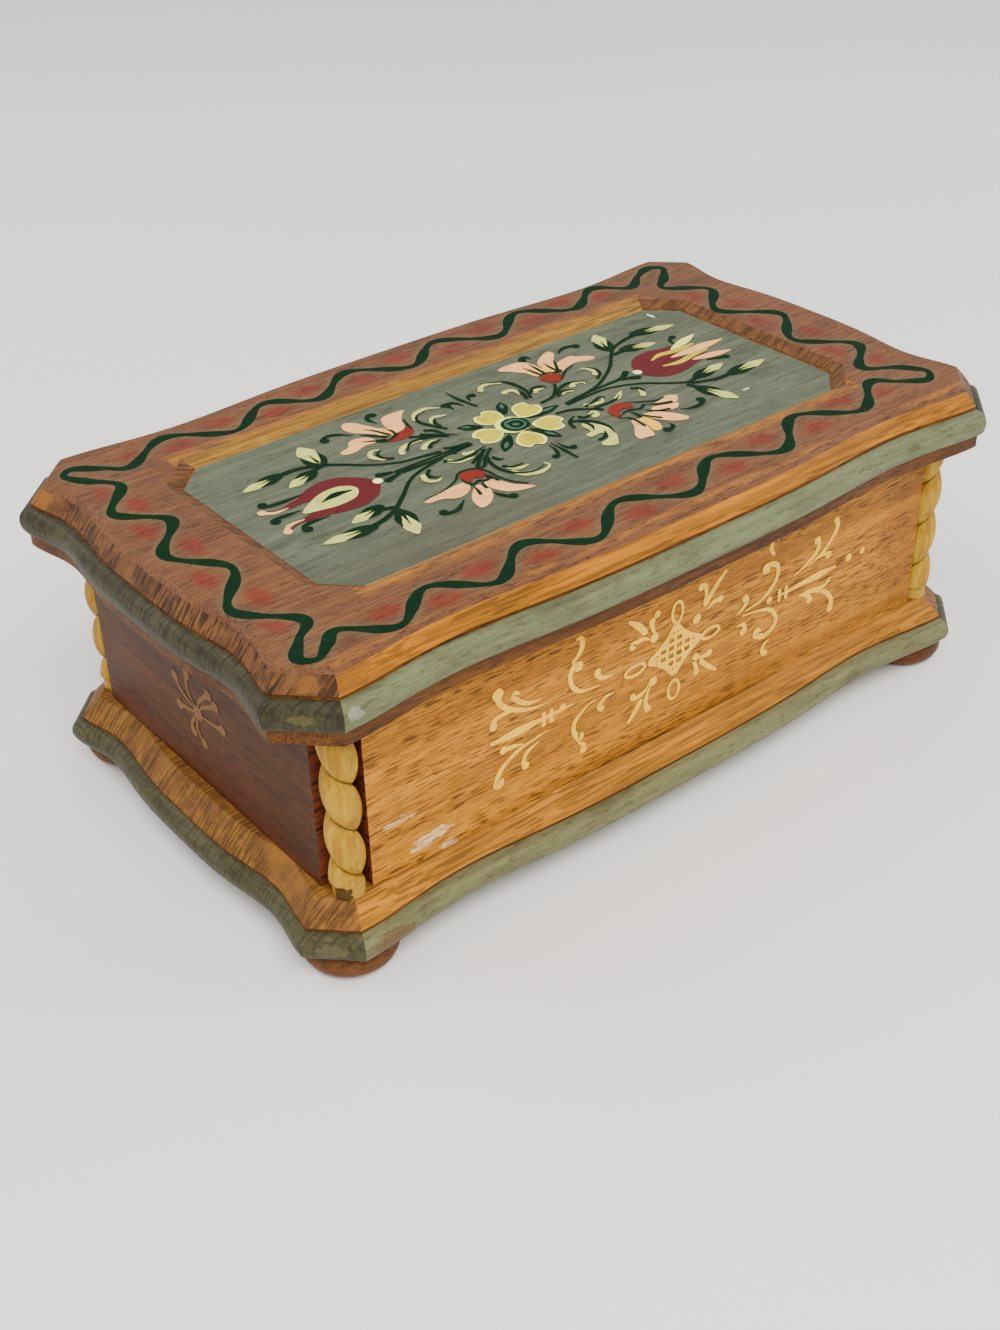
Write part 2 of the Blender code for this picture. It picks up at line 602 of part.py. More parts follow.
def build_body(look):
    """Four panels, the posts in the corners and the twist columns in the notches."""
    front_half = BODY_HALF_LENGTH - NOTCH_LENGTH
    side_half = BODY_HALF_WIDTH - NOTCH_WIDTH
    for name, side in (("front", -1), ("back", 1)):
        outer = side * BODY_HALF_WIDTH
        inner = side * INNER_HALF_WIDTH
        low = (-front_half, min(outer, inner), BODY_BOTTOM)
        high = (front_half, max(outer, inner), BODY_TOP)
        panel = box(name + "_panel", look["body"], low, high)
        if name == "back":
            cut_hinge_seats(panel, look)
    for name, side in (("left", -1), ("right", 1)):
        outer = side * BODY_HALF_LENGTH
        inner = side * INNER_HALF_LENGTH
        low = (min(outer, inner), -side_half, BODY_BOTTOM)
        high = (max(outer, inner), side_half, BODY_TOP)
        box(name + "_panel", look["body"], low, high)
    for name, x_side, y_side in corner_sides():
        centre = Vector((x_side * POST_X, y_side * POST_Y, (BODY_BOTTOM + BODY_TOP) / 2))
        reach = Vector((POST_SIDE, POST_SIDE, BODY_HEIGHT)) / 2
        box("corner_post_" + name, look["post"], centre - reach, centre + reach)
        column = (x_side * COLUMN_X, y_side * COLUMN_Y, BODY_BOTTOM)
        twist_column("twist_column_" + name, look["column"], column, -x_side * y_side)


def twist_column(name, material, location, hand):
    """A rope-twist column: one groove winds round a round bar, and both ends are plain."""
    turns = (BODY_HEIGHT - 2 * COLUMN_END_LENGTH) / COLUMN_PITCH
    steps = round(turns * COLUMN_STEPS_PER_TURN)
    section = [2 * math.pi * i / COLUMN_SECTION_POINTS for i in range(COLUMN_SECTION_POINTS)]

    def plain_ring(height):
        return [(COLUMN_END_RADIUS * math.cos(t), COLUMN_END_RADIUS * math.sin(t), height) for t in section]

    rings = [plain_ring(0)]
    for step in range(steps + 1):
        share = step / steps
        turn = hand * 2 * math.pi * turns * share
        height = COLUMN_END_LENGTH + (BODY_HEIGHT - 2 * COLUMN_END_LENGTH) * share
        ring = []
        for t in section:
            swell = abs(math.sin(t / 2)) ** COLUMN_SWELL_POWER
            radius = COLUMN_GROOVE_RADIUS + (COLUMN_RADIUS - COLUMN_GROOVE_RADIUS) * swell
            ring.append((radius * math.cos(t + turn), radius * math.sin(t + turn), height))
        rings.append(ring)
    end_turn = hand * 2 * math.pi * turns
    top = [(COLUMN_END_RADIUS * math.cos(t + end_turn), COLUMN_END_RADIUS * math.sin(t + end_turn), BODY_HEIGHT)
           for t in section]
    rings.append(top)
    loft(name, material, rings, location)


def build_lid(look):
    """Moulded lid board with its sunk panel and the seats of the hinge leaves."""
    outline = serpentine_outline(LID_HALF_LENGTH, LID_HALF_WIDTH, LID_CANT)
    bead_bottom = LID_BOTTOM + LID_LIP_HEIGHT
    profile = [(LID_LIP_REACH, LID_BOTTOM)]
    profile += bead_profile(bead_bottom, LID_BEAD_HEIGHT, LID_BEAD_NOSE, LID_LIP_REACH)
    profile.append((0, bead_bottom + LID_BEAD_HEIGHT + LID_STEP))
    profile.append((-LID_SLOPE_WIDTH, LID_TOP))
    board = moulded_board("lid_board", look["lid"], outline, profile)
    slope = RECESS_SLOPE_WIDTH / RECESS_DEPTH
    rings = []
    for height in (LID_TOP - RECESS_DEPTH, LID_TOP + OVERRUN):
        grow = (height - LID_TOP + RECESS_DEPTH) * slope
        shape = octagon(RECESS_HALF_LENGTH + grow, RECESS_HALF_WIDTH + grow,
                        RECESS_CANT + grow * (2 - math.sqrt(2)))
        rings.append([(x, y, height) for x, y in shape])
    boolean(board, as_cutter(loft("recess_cut", look["lid"], rings)))
    cut_lid_hinge_seats(board, look)


def hinge_screw_places(side):
    """X and Y of the two screws of one leaf."""
    y = (HINGE_LEAF_SEAT + INNER_HALF_WIDTH + BODY_HALF_WIDTH) / 2
    return [(side * HINGE_X - HINGE_SCREW_SPACING / 2, y), (side * HINGE_X + HINGE_SCREW_SPACING / 2, y)]


def screw_hole(name, look, x, y, bottom, top):
    """A cutter for a hinge screw's shank."""
    radius = HINGE_SCREW_RADIUS + CLEARANCE
    hole = cylinder(name, look["steel"], radius, top - bottom, (x, y, bottom), segments=SMALL_ROUND_SEGMENTS)
    return as_cutter(hole)


def cut_hinge_seats(panel, look):
    """Seats of the body leaves and their screw holes in the back panel's top edge."""
    seat = BODY_TOP - HINGE_LEAF_THICKNESS - 2 * CLEARANCE
    bottom = seat - HINGE_SCREW_LENGTH - CLEARANCE
    for name, side in (("left", -1), ("right", 1)):
        half = HINGE_LENGTH / 2 + CLEARANCE
        low = (side * HINGE_X - half, INNER_HALF_WIDTH + HINGE_LEAF_SEAT - CLEARANCE, seat)
        high = (side * HINGE_X + half, BODY_HALF_WIDTH + OVERRUN, BODY_TOP + OVERRUN)
        boolean(panel, as_cutter(box("body_leaf_cut_" + name, look["brass"], low, high)))
        for number, (x, y) in enumerate(hinge_screw_places(side), 1):
            hole = "body_screw_cut_" + name + "_" + str(number)
            boolean(panel, screw_hole(hole, look, x, y, bottom, seat + OVERRUN))


def cut_lid_hinge_seats(board, look):
    """Seats of the lid leaves, the relief round the knuckles and the screw holes in the lid's underside."""
    seat = LID_BOTTOM + HINGE_LEAF_THICKNESS + 2 * CLEARANCE
    relief = HINGE_Z + HINGE_KNUCKLE_RADIUS + CLEARANCE + CLEARANCE
    for name, side in (("left", -1), ("right", 1)):
        half = HINGE_LENGTH / 2 + CLEARANCE
        left = side * HINGE_X - half
        right = side * HINGE_X + half
        relief_start = HINGE_Y - HINGE_KNUCKLE_RADIUS - CLEARANCE
        low = (left, INNER_HALF_WIDTH + HINGE_LEAF_SEAT - CLEARANCE, LID_BOTTOM - OVERRUN)
        high = (right, relief_start + OVERRUN, seat)
        boolean(board, as_cutter(box("lid_leaf_cut_" + name, look["brass"], low, high)))
        low = (left, relief_start, LID_BOTTOM - 2 * OVERRUN)
        high = (right, LID_HALF_WIDTH + LID_BEAD_NOSE + OVERRUN, relief)
        boolean(board, as_cutter(box("knuckle_relief_cut_" + name, look["brass"], low, high)))
        for number, (x, y) in enumerate(hinge_screw_places(side), 1):
            hole = "lid_screw_cut_" + name + "_" + str(number)
            top = seat + HINGE_SCREW_LENGTH + CLEARANCE
            boolean(board, screw_hole(hole, look, x, y, seat - OVERRUN, top))


def leaf_outline(side, lid_side):
    """Plan of a hinge leaf whose tabs reach into its own knuckles: the middle one, or the two outer ones."""
    left = side * HINGE_X - HINGE_LENGTH / 2
    right = left + HINGE_LENGTH
    middle_left = side * HINGE_X - HINGE_MIDDLE_KNUCKLE / 2
    middle_right = middle_left + HINGE_MIDDLE_KNUCKLE
    start = INNER_HALF_WIDTH + HINGE_LEAF_SEAT
    edge = HINGE_Y - HINGE_KNUCKLE_RADIUS - CLEARANCE
    tab = HINGE_Y - HINGE_PIN_RADIUS
    inset = HINGE_TAB_INSET
    if lid_side:
        return [(left, start), (right, start), (right, edge), (middle_right - inset, edge),
                (middle_right - inset, tab), (middle_left + inset, tab), (middle_left + inset, edge), (left, edge)]
    inner_left = middle_left - CLEARANCE - inset
    inner_right = middle_right + CLEARANCE + inset
    return [(left, start), (right, start), (right, edge), (right - inset, edge), (right - inset, tab),
            (inner_right, tab), (inner_right, edge), (inner_left, edge), (inner_left, tab),
            (left + inset, tab), (left + inset, edge), (left, edge)]


def knuckle(name, look, left, right):
    """A solid knuckle round the hinge axis between two places along X."""
    return cylinder(name, look["brass"], HINGE_KNUCKLE_RADIUS, right - left, (left, HINGE_Y, HINGE_Z),
                    (0, math.pi / 2, 0), SMALL_ROUND_SEGMENTS)


def build_hinges(look):
    """Two butt hinges, each with two leaves, a pin and four screws."""
    hole = HINGE_SCREW_HEAD_RADIUS + CLEARANCE
    for name, side in (("left", -1), ("right", 1)):
        left = side * HINGE_X - HINGE_LENGTH / 2
        right = left + HINGE_LENGTH
        middle_left = side * HINGE_X - HINGE_MIDDLE_KNUCKLE / 2
        middle_right = middle_left + HINGE_MIDDLE_KNUCKLE
        spans = {
            "body": [(left, middle_left - CLEARANCE), (middle_right + CLEARANCE, right)],
            "lid": [(middle_left, middle_right)],
        }
        bore = cylinder("pin_bore_cut_" + name, look["brass"], HINGE_PIN_RADIUS + CLEARANCE,
                        HINGE_LENGTH + 2 * OVERRUN, (left - OVERRUN, HINGE_Y, HINGE_Z), (0, math.pi / 2, 0),
                        SMALL_ROUND_SEGMENTS)
        as_cutter(bore)
        leaf_bottoms = {"body": BODY_TOP - CLEARANCE - HINGE_LEAF_THICKNESS, "lid": LID_BOTTOM + CLEARANCE}
        for half in ("body", "lid"):
            screw_holes = [circle(hole, SMALL_ROUND_SEGMENTS, centre) for centre in hinge_screw_places(side)]
            outline = leaf_outline(side, half == "lid")
            leaf = plate("hinge_" + name + "_" + half + "_leaf", look["brass"], [outline] + screw_holes,
                         HINGE_LEAF_THICKNESS, (0, 0, leaf_bottoms[half]))
            for number, (start, end) in enumerate(spans[half], 1):
                ring = knuckle("knuckle_" + name + "_" + half + "_" + str(number), look, start, end)
                boolean(leaf, as_cutter(ring), "UNION")
            boolean(leaf, bore)
        cylinder("hinge_" + name + "_pin", look["steel"], HINGE_PIN_RADIUS, HINGE_LENGTH,
                 (left, HINGE_Y, HINGE_Z), (0, math.pi / 2, 0), SMALL_ROUND_SEGMENTS)
        build_hinge_screws(look, name, side, leaf_bottoms)


def build_hinge_screws(look, name, side, leaf_bottoms):
    """Flat-headed screws, head up in the body leaf and head down in the lid leaf."""
    profile = [(0, 0), (HINGE_SCREW_HEAD_RADIUS, 0), (HINGE_SCREW_HEAD_RADIUS, -HINGE_SCREW_HEAD_HEIGHT),
               (HINGE_SCREW_RADIUS, -HINGE_SCREW_HEAD_HEIGHT),
               (HINGE_SCREW_RADIUS, -HINGE_SCREW_LENGTH), (0, -HINGE_SCREW_LENGTH)]
    body_face = leaf_bottoms["body"] + HINGE_SCREW_HEAD_HEIGHT
    lid_face = leaf_bottoms["lid"] + HINGE_LEAF_THICKNESS - HINGE_SCREW_HEAD_HEIGHT
    for number, (x, y) in enumerate(hinge_screw_places(side), 1):
        body_name = "hinge_" + name + "_body_screw_" + str(number)
        turned(body_name, look["brass"], profile, (x, y, body_face), segments=SMALL_ROUND_SEGMENTS)
        lid_name = "hinge_" + name + "_lid_screw_" + str(number)
        turned(lid_name, look["brass"], profile, (x, y, lid_face), (math.pi, 0, 0), SMALL_ROUND_SEGMENTS)


def build_inside(look):
    """Partition, cleats, clear movement cover and the felt in the jewellery compartment."""
    wall = INNER_HALF_WIDTH - CLEARANCE
    left_wall = -INNER_HALF_LENGTH + CLEARANCE
    post_edge_x = POST_X - POST_SIDE / 2 - CLEARANCE
    post_edge_y = POST_Y - POST_SIDE / 2 - CLEARANCE
    partition_end = PARTITION_X + PARTITION_THICKNESS
    box("partition", look["inner"], (PARTITION_X, -wall, BODY_BOTTOM), (partition_end, wall, CLEAT_TOP))
    for name, side in (("front", -1), ("back", 1)):
        inner = side * (wall - CLEAT_SIDE)
        outer = side * wall
        low = (-post_edge_x, min(inner, outer), CLEAT_TOP - CLEAT_SIDE)
        high = (PARTITION_X - CLEARANCE, max(inner, outer), CLEAT_TOP)
        box("cover_cleat_" + name, look["inner"], low, high)
    cover = [(left_wall, -post_edge_y), (-post_edge_x, -post_edge_y), (-post_edge_x, -wall),
             (partition_end, -wall), (partition_end, wall), (-post_edge_x, wall),
             (-post_edge_x, post_edge_y), (left_wall, post_edge_y)]
    hole = circle(PLUNGER_RADIUS + CLEARANCE, SMALL_ROUND_SEGMENTS, (WORM_X, PLUNGER_Y))
    plate("movement_cover", look["clear"], [cover, hole], COVER_THICKNESS, (0, 0, COVER_BOTTOM))
    start = partition_end + CLEARANCE
    felt = [(start, -wall), (post_edge_x, -wall), (post_edge_x, -post_edge_y), (-left_wall, -post_edge_y),
            (-left_wall, post_edge_y), (post_edge_x, post_edge_y), (post_edge_x, wall), (start, wall)]
    plate("felt_lining", look["felt"], [felt], LINING_THICKNESS, (0, 0, BASE_TOP + CLEARANCE))


def build_bedplate(look):
    """Bedplate with the raised block that carries the comb."""
    left = MOVEMENT_X - BEDPLATE_LEFT
    right = MOVEMENT_X + BEDPLATE_RIGHT
    front = MOVEMENT_Y - BEDPLATE_FRONT
    back = MOVEMENT_Y + BEDPLATE_BACK
    comb_front = COMB_START_Y - COMB_BLOCK_MARGIN
    comb_back = COMB_END_Y + COMB_BLOCK_MARGIN
    outline = [(left, front), (right, front), (right, back), (left, back), (left, comb_back),
               (COMB_TAIL_X, comb_back), (COMB_TAIL_X, comb_front), (left, comb_front)]
    holes = [circle(ARBOR_RADIUS + ARBOR_HOLE_EASE, SMALL_ROUND_SEGMENTS, (MOVEMENT_X, MOVEMENT_Y))]
    bedplate = plate("bedplate", look["brass"], [outline] + holes, BEDPLATE_THICKNESS, (0, 0, BEDPLATE_BOTTOM))
    low = (COMB_TAIL_X + CLEARANCE, comb_front + CLEARANCE, BEDPLATE_BOTTOM + BEDPLATE_THICKNESS / 2)
    high = (COMB_ROOT_X - CLEARANCE, comb_back - CLEARANCE, COMB_BLOCK_TOP)
    boolean(bedplate, as_cutter(box("comb_block_join", look["brass"], low, high)), "UNION")
    radius = MOVEMENT_SCREW_RADIUS + CLEARANCE
    for number, (x, y) in enumerate(movement_screw_places(), 1):
        hole = cylinder("bedplate_hole_cut_" + str(number), look["brass"], radius,
                        BEDPLATE_THICKNESS + 2 * OVERRUN, (x, y, BEDPLATE_BOTTOM - OVERRUN),
                        segments=SMALL_ROUND_SEGMENTS)
        boolean(bedplate, as_cutter(hole))
    for number, (x, y) in enumerate(comb_screw_places(), 1):
        depth = COMB_SCREW_LENGTH + CLEARANCE
        hole = cylinder("comb_hole_cut_" + str(number), look["brass"], COMB_SCREW_RADIUS + CLEARANCE,
                        depth + OVERRUN, (x, y, COMB_BOTTOM - depth), segments=SMALL_ROUND_SEGMENTS)
        boolean(bedplate, as_cutter(hole))


def build_movement_screws(look):
    """Two screws that hold the bedplate from below, their heads sunk in the base board."""
    face = BASE_BOTTOM + MOVEMENT_SCREW_SINK
    shoulder = face + MOVEMENT_SCREW_HEAD_HEIGHT
    top = BEDPLATE_TOP - CLEARANCE
    profile = [(0, top), (MOVEMENT_SCREW_RADIUS, top), (MOVEMENT_SCREW_RADIUS, shoulder),
               (MOVEMENT_SCREW_HEAD_RADIUS, shoulder), (MOVEMENT_SCREW_HEAD_RADIUS, face), (0, face)]
    for number, (x, y) in enumerate(movement_screw_places(), 1):
        turned("movement_screw_" + str(number), look["steel"], profile, (x, y, 0), segments=SMALL_ROUND_SEGMENTS)


def comb_screw_places():
    """Where the two comb screws stand."""
    x = COMB_TAIL_X + COMB_TAIL_LENGTH / 2
    return [(x, COMB_START_Y + COMB_SCREW_INSET), (x, COMB_END_Y - COMB_SCREW_INSET)]


def build_comb(look):
    """Steel comb, its teeth pointing at the cylinder, held by two screws."""
    pitch = CYLINDER_LENGTH / COMB_TEETH
    outline = [(COMB_TAIL_X, COMB_END_Y), (COMB_TAIL_X, COMB_START_Y)]
    for tooth in range(COMB_TEETH):
        start = COMB_START_Y + (tooth + (1 - COMB_TOOTH_SHARE) / 2) * pitch
        end = start + COMB_TOOTH_SHARE * pitch
        outline += [(COMB_ROOT_X, start), (COMB_TIP_X, start), (COMB_TIP_X, end), (COMB_ROOT_X, end)]
    holes = [circle(COMB_SCREW_RADIUS + CLEARANCE, SMALL_ROUND_SEGMENTS, centre) for centre in comb_screw_places()]
    plate("comb", look["steel"], [outline] + holes, COMB_THICKNESS, (0, 0, COMB_BOTTOM))
    head_bottom = COMB_BOTTOM + COMB_THICKNESS + CLEARANCE
    head_top = head_bottom + COMB_SCREW_HEAD_HEIGHT
    end = COMB_BOTTOM - COMB_SCREW_LENGTH
    profile = [(0, head_top), (COMB_SCREW_HEAD_RADIUS, head_top), (COMB_SCREW_HEAD_RADIUS, head_bottom),
               (COMB_SCREW_RADIUS, head_bottom), (COMB_SCREW_RADIUS, end), (0, end)]
    for number, (x, y) in enumerate(comb_screw_places(), 1):
        turned("comb_screw_" + str(number), look["steel"], profile, (x, y, 0), segments=SMALL_ROUND_SEGMENTS)


def build_barrel(look):
    """Spring barrel with its cover, its ring gear of upright teeth and the mainspring inside."""
    place_at = (MOVEMENT_X, MOVEMENT_Y, 0)
    bore = ARBOR_RADIUS + CLEARANCE
    inner = BARREL_RADIUS - BARREL_WALL
    ceiling = BARREL_TOP - BARREL_WALL
    cup = [(bore, BARREL_TOP), (BARREL_RADIUS, BARREL_TOP), (BARREL_RADIUS, BARREL_BOTTOM),
           (inner, BARREL_BOTTOM), (inner, ceiling), (bore, ceiling)]
    turned("spring_barrel", look["brass"], cup, place_at, closed=True)
    cover_top = BARREL_COVER_BOTTOM + BARREL_COVER_THICKNESS
    cover = [(bore, cover_top), (BARREL_RADIUS, cover_top), (BARREL_RADIUS, BARREL_COVER_BOTTOM),
             (bore, BARREL_COVER_BOTTOM)]
    turned("barrel_cover", look["brass"], cover, place_at, closed=True)
    columns = []
    step = 2 * math.pi / RING_GEAR_TEETH
    root = step * TOOTH_ROOT_SHARE / 2
    tip = step * TOOTH_TIP_SHARE / 2
    ring_inner = BARREL_RADIUS + CLEARANCE
    for tooth in range(RING_GEAR_TEETH):
        middle = math.pi / 2 + (tooth + 0.5) * step
        for angle, height in ((-root, RING_ROOT), (-tip, RING_ROOT + RING_TOOTH_HEIGHT),
                              (tip, RING_ROOT + RING_TOOTH_HEIGHT), (root, RING_ROOT)):
            turn = middle + angle
            columns.append([(radius * math.cos(turn), radius * math.sin(turn), z) for radius, z in (
                (ring_inner, BARREL_COVER_BOTTOM), (RING_GEAR_RADIUS, BARREL_COVER_BOTTOM),
                (RING_GEAR_RADIUS, height), (ring_inner, height))])
    loft("barrel_gear", look["brass"], columns, place_at, closed=True)
    build_mainspring(look)


def build_mainspring(look):
    """A flat spiral of steel strip, free of the arbor and of the barrel's wall."""
    bottom = BARREL_BOTTOM + CLEARANCE
    top = BARREL_TOP - BARREL_WALL - CLEARANCE
    outer = BARREL_RADIUS - BARREL_WALL - CLEARANCE - SPRING_THICKNESS
    steps = SPRING_TURNS * SPRING_STEPS_PER_TURN
    columns = []
    for step in range(steps + 1):
        turn = 2 * math.pi * step / SPRING_STEPS_PER_TURN
        radius = SPRING_INNER_RADIUS + (outer - SPRING_INNER_RADIUS) * step / steps
        edge = radius + SPRING_THICKNESS
        columns.append([(r * math.cos(turn), r * math.sin(turn), z)
                        for r, z in ((radius, bottom), (edge, bottom), (edge, top), (radius, top))])
    loft("mainspring", look["steel"], columns, (MOVEMENT_X, MOVEMENT_Y, 0))


def build_winding(look):
    """Winding arbor through the base board, and the key under it."""
    top = BARREL_TOP + CLEARANCE
    hub_top = KEY_GROUND_CLEARANCE + KEY_HUB_HEIGHT
    socket = hub_top - KEY_SOCKET_DEPTH
    bottom = socket + CLEARANCE
    cylinder("winding_arbor", look["steel"], ARBOR_RADIUS, top - bottom, (MOVEMENT_X, MOVEMENT_Y, bottom),
             segments=SMALL_ROUND_SEGMENTS)
    key = cylinder("winding_key", look["nickel"], KEY_HUB_RADIUS, KEY_HUB_HEIGHT,
                   (MOVEMENT_X, MOVEMENT_Y, KEY_GROUND_CLEARANCE), segments=ROUND_SEGMENTS)
    lobe = KEY_WING_HEIGHT / 2
    centre = KEY_WING_REACH - lobe
    wing = []
    for i in range(SMALL_ROUND_SEGMENTS // 2 + 1):
        turn = math.pi * (i / (SMALL_ROUND_SEGMENTS // 2) - 0.5)
        wing.append((centre + lobe * math.cos(turn), lobe * math.sin(turn)))
    wing += [(-x, -y) for x, y in wing]
    height = KEY_GROUND_CLEARANCE + OVERRUN / 2 + lobe
    wings = plate("key_wings_join", look["nickel"], [wing], KEY_WING_THICKNESS,
                  (MOVEMENT_X, MOVEMENT_Y + KEY_WING_THICKNESS / 2, height), (math.pi / 2, 0, 0))
    boolean(key, as_cutter(wings), "UNION")
    for name, side in (("left", -1), ("right", 1)):
        eye = cylinder("key_eye_cut_" + name, look["nickel"], lobe * KEY_EYE_SHARE,
                       KEY_WING_THICKNESS + 2 * OVERRUN,
                       (MOVEMENT_X + side * centre, MOVEMENT_Y - KEY_WING_THICKNESS / 2 - OVERRUN, height),
                       (-math.pi / 2, 0, 0), SMALL_ROUND_SEGMENTS)
        boolean(key, as_cutter(eye))
    bore = cylinder("key_socket_cut", look["nickel"], ARBOR_RADIUS + CLEARANCE, KEY_SOCKET_DEPTH + OVERRUN,
                    (MOVEMENT_X, MOVEMENT_Y, socket), segments=SMALL_ROUND_SEGMENTS)
    boolean(key, as_cutter(bore))


def build_cylinder(look):
    """Cylinder on its arbor, the pinion that the barrel drives and the wheel that drives the governor."""
    start = MOVEMENT_Y + BARREL_RADIUS + CLEARANCE + CLEARANCE
    end = MOVEMENT_Y + BRIDGE_BACK_START + BRIDGE_THICKNESS + OVERRUN
    body_end = COMB_END_Y
    profile = [(0, end), (CYLINDER_ARBOR_RADIUS, end), (CYLINDER_ARBOR_RADIUS, body_end),
               (CYLINDER_RADIUS, body_end), (CYLINDER_RADIUS, COMB_START_Y),
               (CYLINDER_ARBOR_RADIUS, COMB_START_Y), (CYLINDER_ARBOR_RADIUS, start), (0, start)]
    turned("cylinder", look["brass"], profile, (MOVEMENT_X, 0, CYLINDER_Z), (-math.pi / 2, 0, 0))
    bore = circle(CYLINDER_ARBOR_RADIUS + CLEARANCE)
    pinion = gear_outline(CYLINDER_PINION_TEETH, CYLINDER_PINION_RADIUS, CYLINDER_PINION_ADDENDUM,
                          CYLINDER_PINION_DEDENDUM, -math.pi / 2)
    pinion_end = start + CLEARANCE + CYLINDER_PINION_WIDTH
    plate("cylinder_pinion", look["steel"], [pinion, bore], CYLINDER_PINION_WIDTH,
          (MOVEMENT_X, pinion_end, CYLINDER_Z), (math.pi / 2, 0, 0))
    wheel = gear_outline(WHEEL_TEETH, WHEEL_RADIUS, WHEEL_ADDENDUM, WHEEL_DEDENDUM,
                         math.radians(GOVERNOR_MESH_DEGREES))
    plate("cylinder_wheel", look["brass"], [wheel, bore], WHEEL_WIDTH,
          (MOVEMENT_X, WHEEL_START + WHEEL_WIDTH, CYLINDER_Z), (math.pi / 2, 0, 0))


def build_bridges(look):
    """Two upright plates that carry the cylinder's arbor, the back one the governor's arbor too."""
    bottom = BEDPLATE_TOP + CLEARANCE - CYLINDER_Z
    bore = circle(CYLINDER_ARBOR_RADIUS + CLEARANCE)
    front = rectangle(-BRIDGE_HALF_WIDTH, BRIDGE_HALF_WIDTH, bottom, BRIDGE_HEAD)
    plate("cylinder_bridge_front", look["brass"], [front, bore], BRIDGE_THICKNESS,
          (MOVEMENT_X, MOVEMENT_Y + BRIDGE_FRONT_START + BRIDGE_THICKNESS, CYLINDER_Z), (math.pi / 2, 0, 0))
    reach_x = GOVERNOR_X - MOVEMENT_X
    reach_z = GOVERNOR_Z - CYLINDER_Z
    side = BRIDGE_HEAD / 2
    back = rectangle(-BRIDGE_HALF_WIDTH, reach_x + side, bottom, reach_z + side)
    small_bore = circle(GOVERNOR_ARBOR_RADIUS + CLEARANCE, SMALL_ROUND_SEGMENTS, (reach_x, reach_z))
    plate("cylinder_bridge_back", look["brass"], [back, bore, small_bore], BRIDGE_THICKNESS,
          (MOVEMENT_X, MOVEMENT_Y + BRIDGE_BACK_START + BRIDGE_THICKNESS, CYLINDER_Z), (math.pi / 2, 0, 0))


def build_governor(look):
    """Governor wheel and pinion on one arbor, the worm shaft, the fan and the bracket over the worm."""
    pinion = gear_outline(GOVERNOR_PINION_TEETH, GOVERNOR_PINION_RADIUS, WHEEL_ADDENDUM, WHEEL_DEDENDUM,
                          math.radians(GOVERNOR_MESH_DEGREES) + math.pi + math.pi / GOVERNOR_PINION_TEETH)
    bore = circle(GOVERNOR_ARBOR_RADIUS + CLEARANCE)
    plate("governor_pinion", look["brass"], [pinion, bore], WHEEL_WIDTH,
          (GOVERNOR_X, WHEEL_START + WHEEL_WIDTH, GOVERNOR_Z), (math.pi / 2, 0, 0))
    wheel_outline = gear_outline(GOVERNOR_WHEEL_TEETH, GOVERNOR_WHEEL_RADIUS, GOVERNOR_WHEEL_ADDENDUM,
                                 GOVERNOR_WHEEL_DEDENDUM, 0)
    wheel = plate("governor_wheel", look["brass"], [wheel_outline], WHEEL_WIDTH,
                  (GOVERNOR_X, GOVERNOR_WHEEL_START + WHEEL_WIDTH, GOVERNOR_Z), (math.pi / 2, 0, 0))
    arbor_start = WHEEL_START - CLEARANCE
    arbor_end = MOVEMENT_Y + BRIDGE_BACK_START + BRIDGE_THICKNESS + CLEARANCE
    arbor = cylinder("governor_arbor_join", look["steel"], GOVERNOR_ARBOR_RADIUS, arbor_end - arbor_start,
                     (GOVERNOR_X, arbor_start, GOVERNOR_Z), (-math.pi / 2, 0, 0), SMALL_ROUND_SEGMENTS)
    boolean(wheel, as_cutter(arbor), "UNION")
    build_worm(look)
    build_bracket(look)
    build_fan(look)


def build_worm(look):
    """Worm shaft: a thread of one start, in mesh with the governor wheel, on a plain upright shaft."""
    section = [2 * math.pi * i / WORM_SECTION_POINTS for i in range(WORM_SECTION_POINTS)]

    def shaft_ring(height):
        return [(WORM_CORE_RADIUS * math.cos(t), WORM_CORE_RADIUS * math.sin(t), height) for t in section]

    rings = [shaft_ring(BEDPLATE_TOP + CLEARANCE), shaft_ring(GOVERNOR_Z - WORM_HALF_LENGTH)]
    steps = WORM_TURNS * WORM_STEPS_PER_TURN
    for step in range(1, steps):
        height = GOVERNOR_Z + WORM_HALF_LENGTH * (2 * step / steps - 1)
        ring = []
        for t in section:
            phase = (height - GOVERNOR_Z) / WORM_PITCH - (t - math.pi) / (2 * math.pi) + 0.5
            away = abs(phase - round(phase))
            crest = max(0.0, min(1.0, (WORM_THREAD_SHARE - away) / (WORM_THREAD_SHARE / 2)))
            radius = WORM_CORE_RADIUS + (WORM_THREAD_RADIUS - WORM_CORE_RADIUS) * crest
            ring.append((radius * math.cos(t), radius * math.sin(t), height))
        rings.append(ring)
    rings.append(shaft_ring(GOVERNOR_Z + WORM_HALF_LENGTH))
    rings.append(shaft_ring(FAN_BOTTOM + FAN_HEIGHT))
    loft("worm_shaft", look["steel"], rings, (WORM_X, WORM_Y, 0))


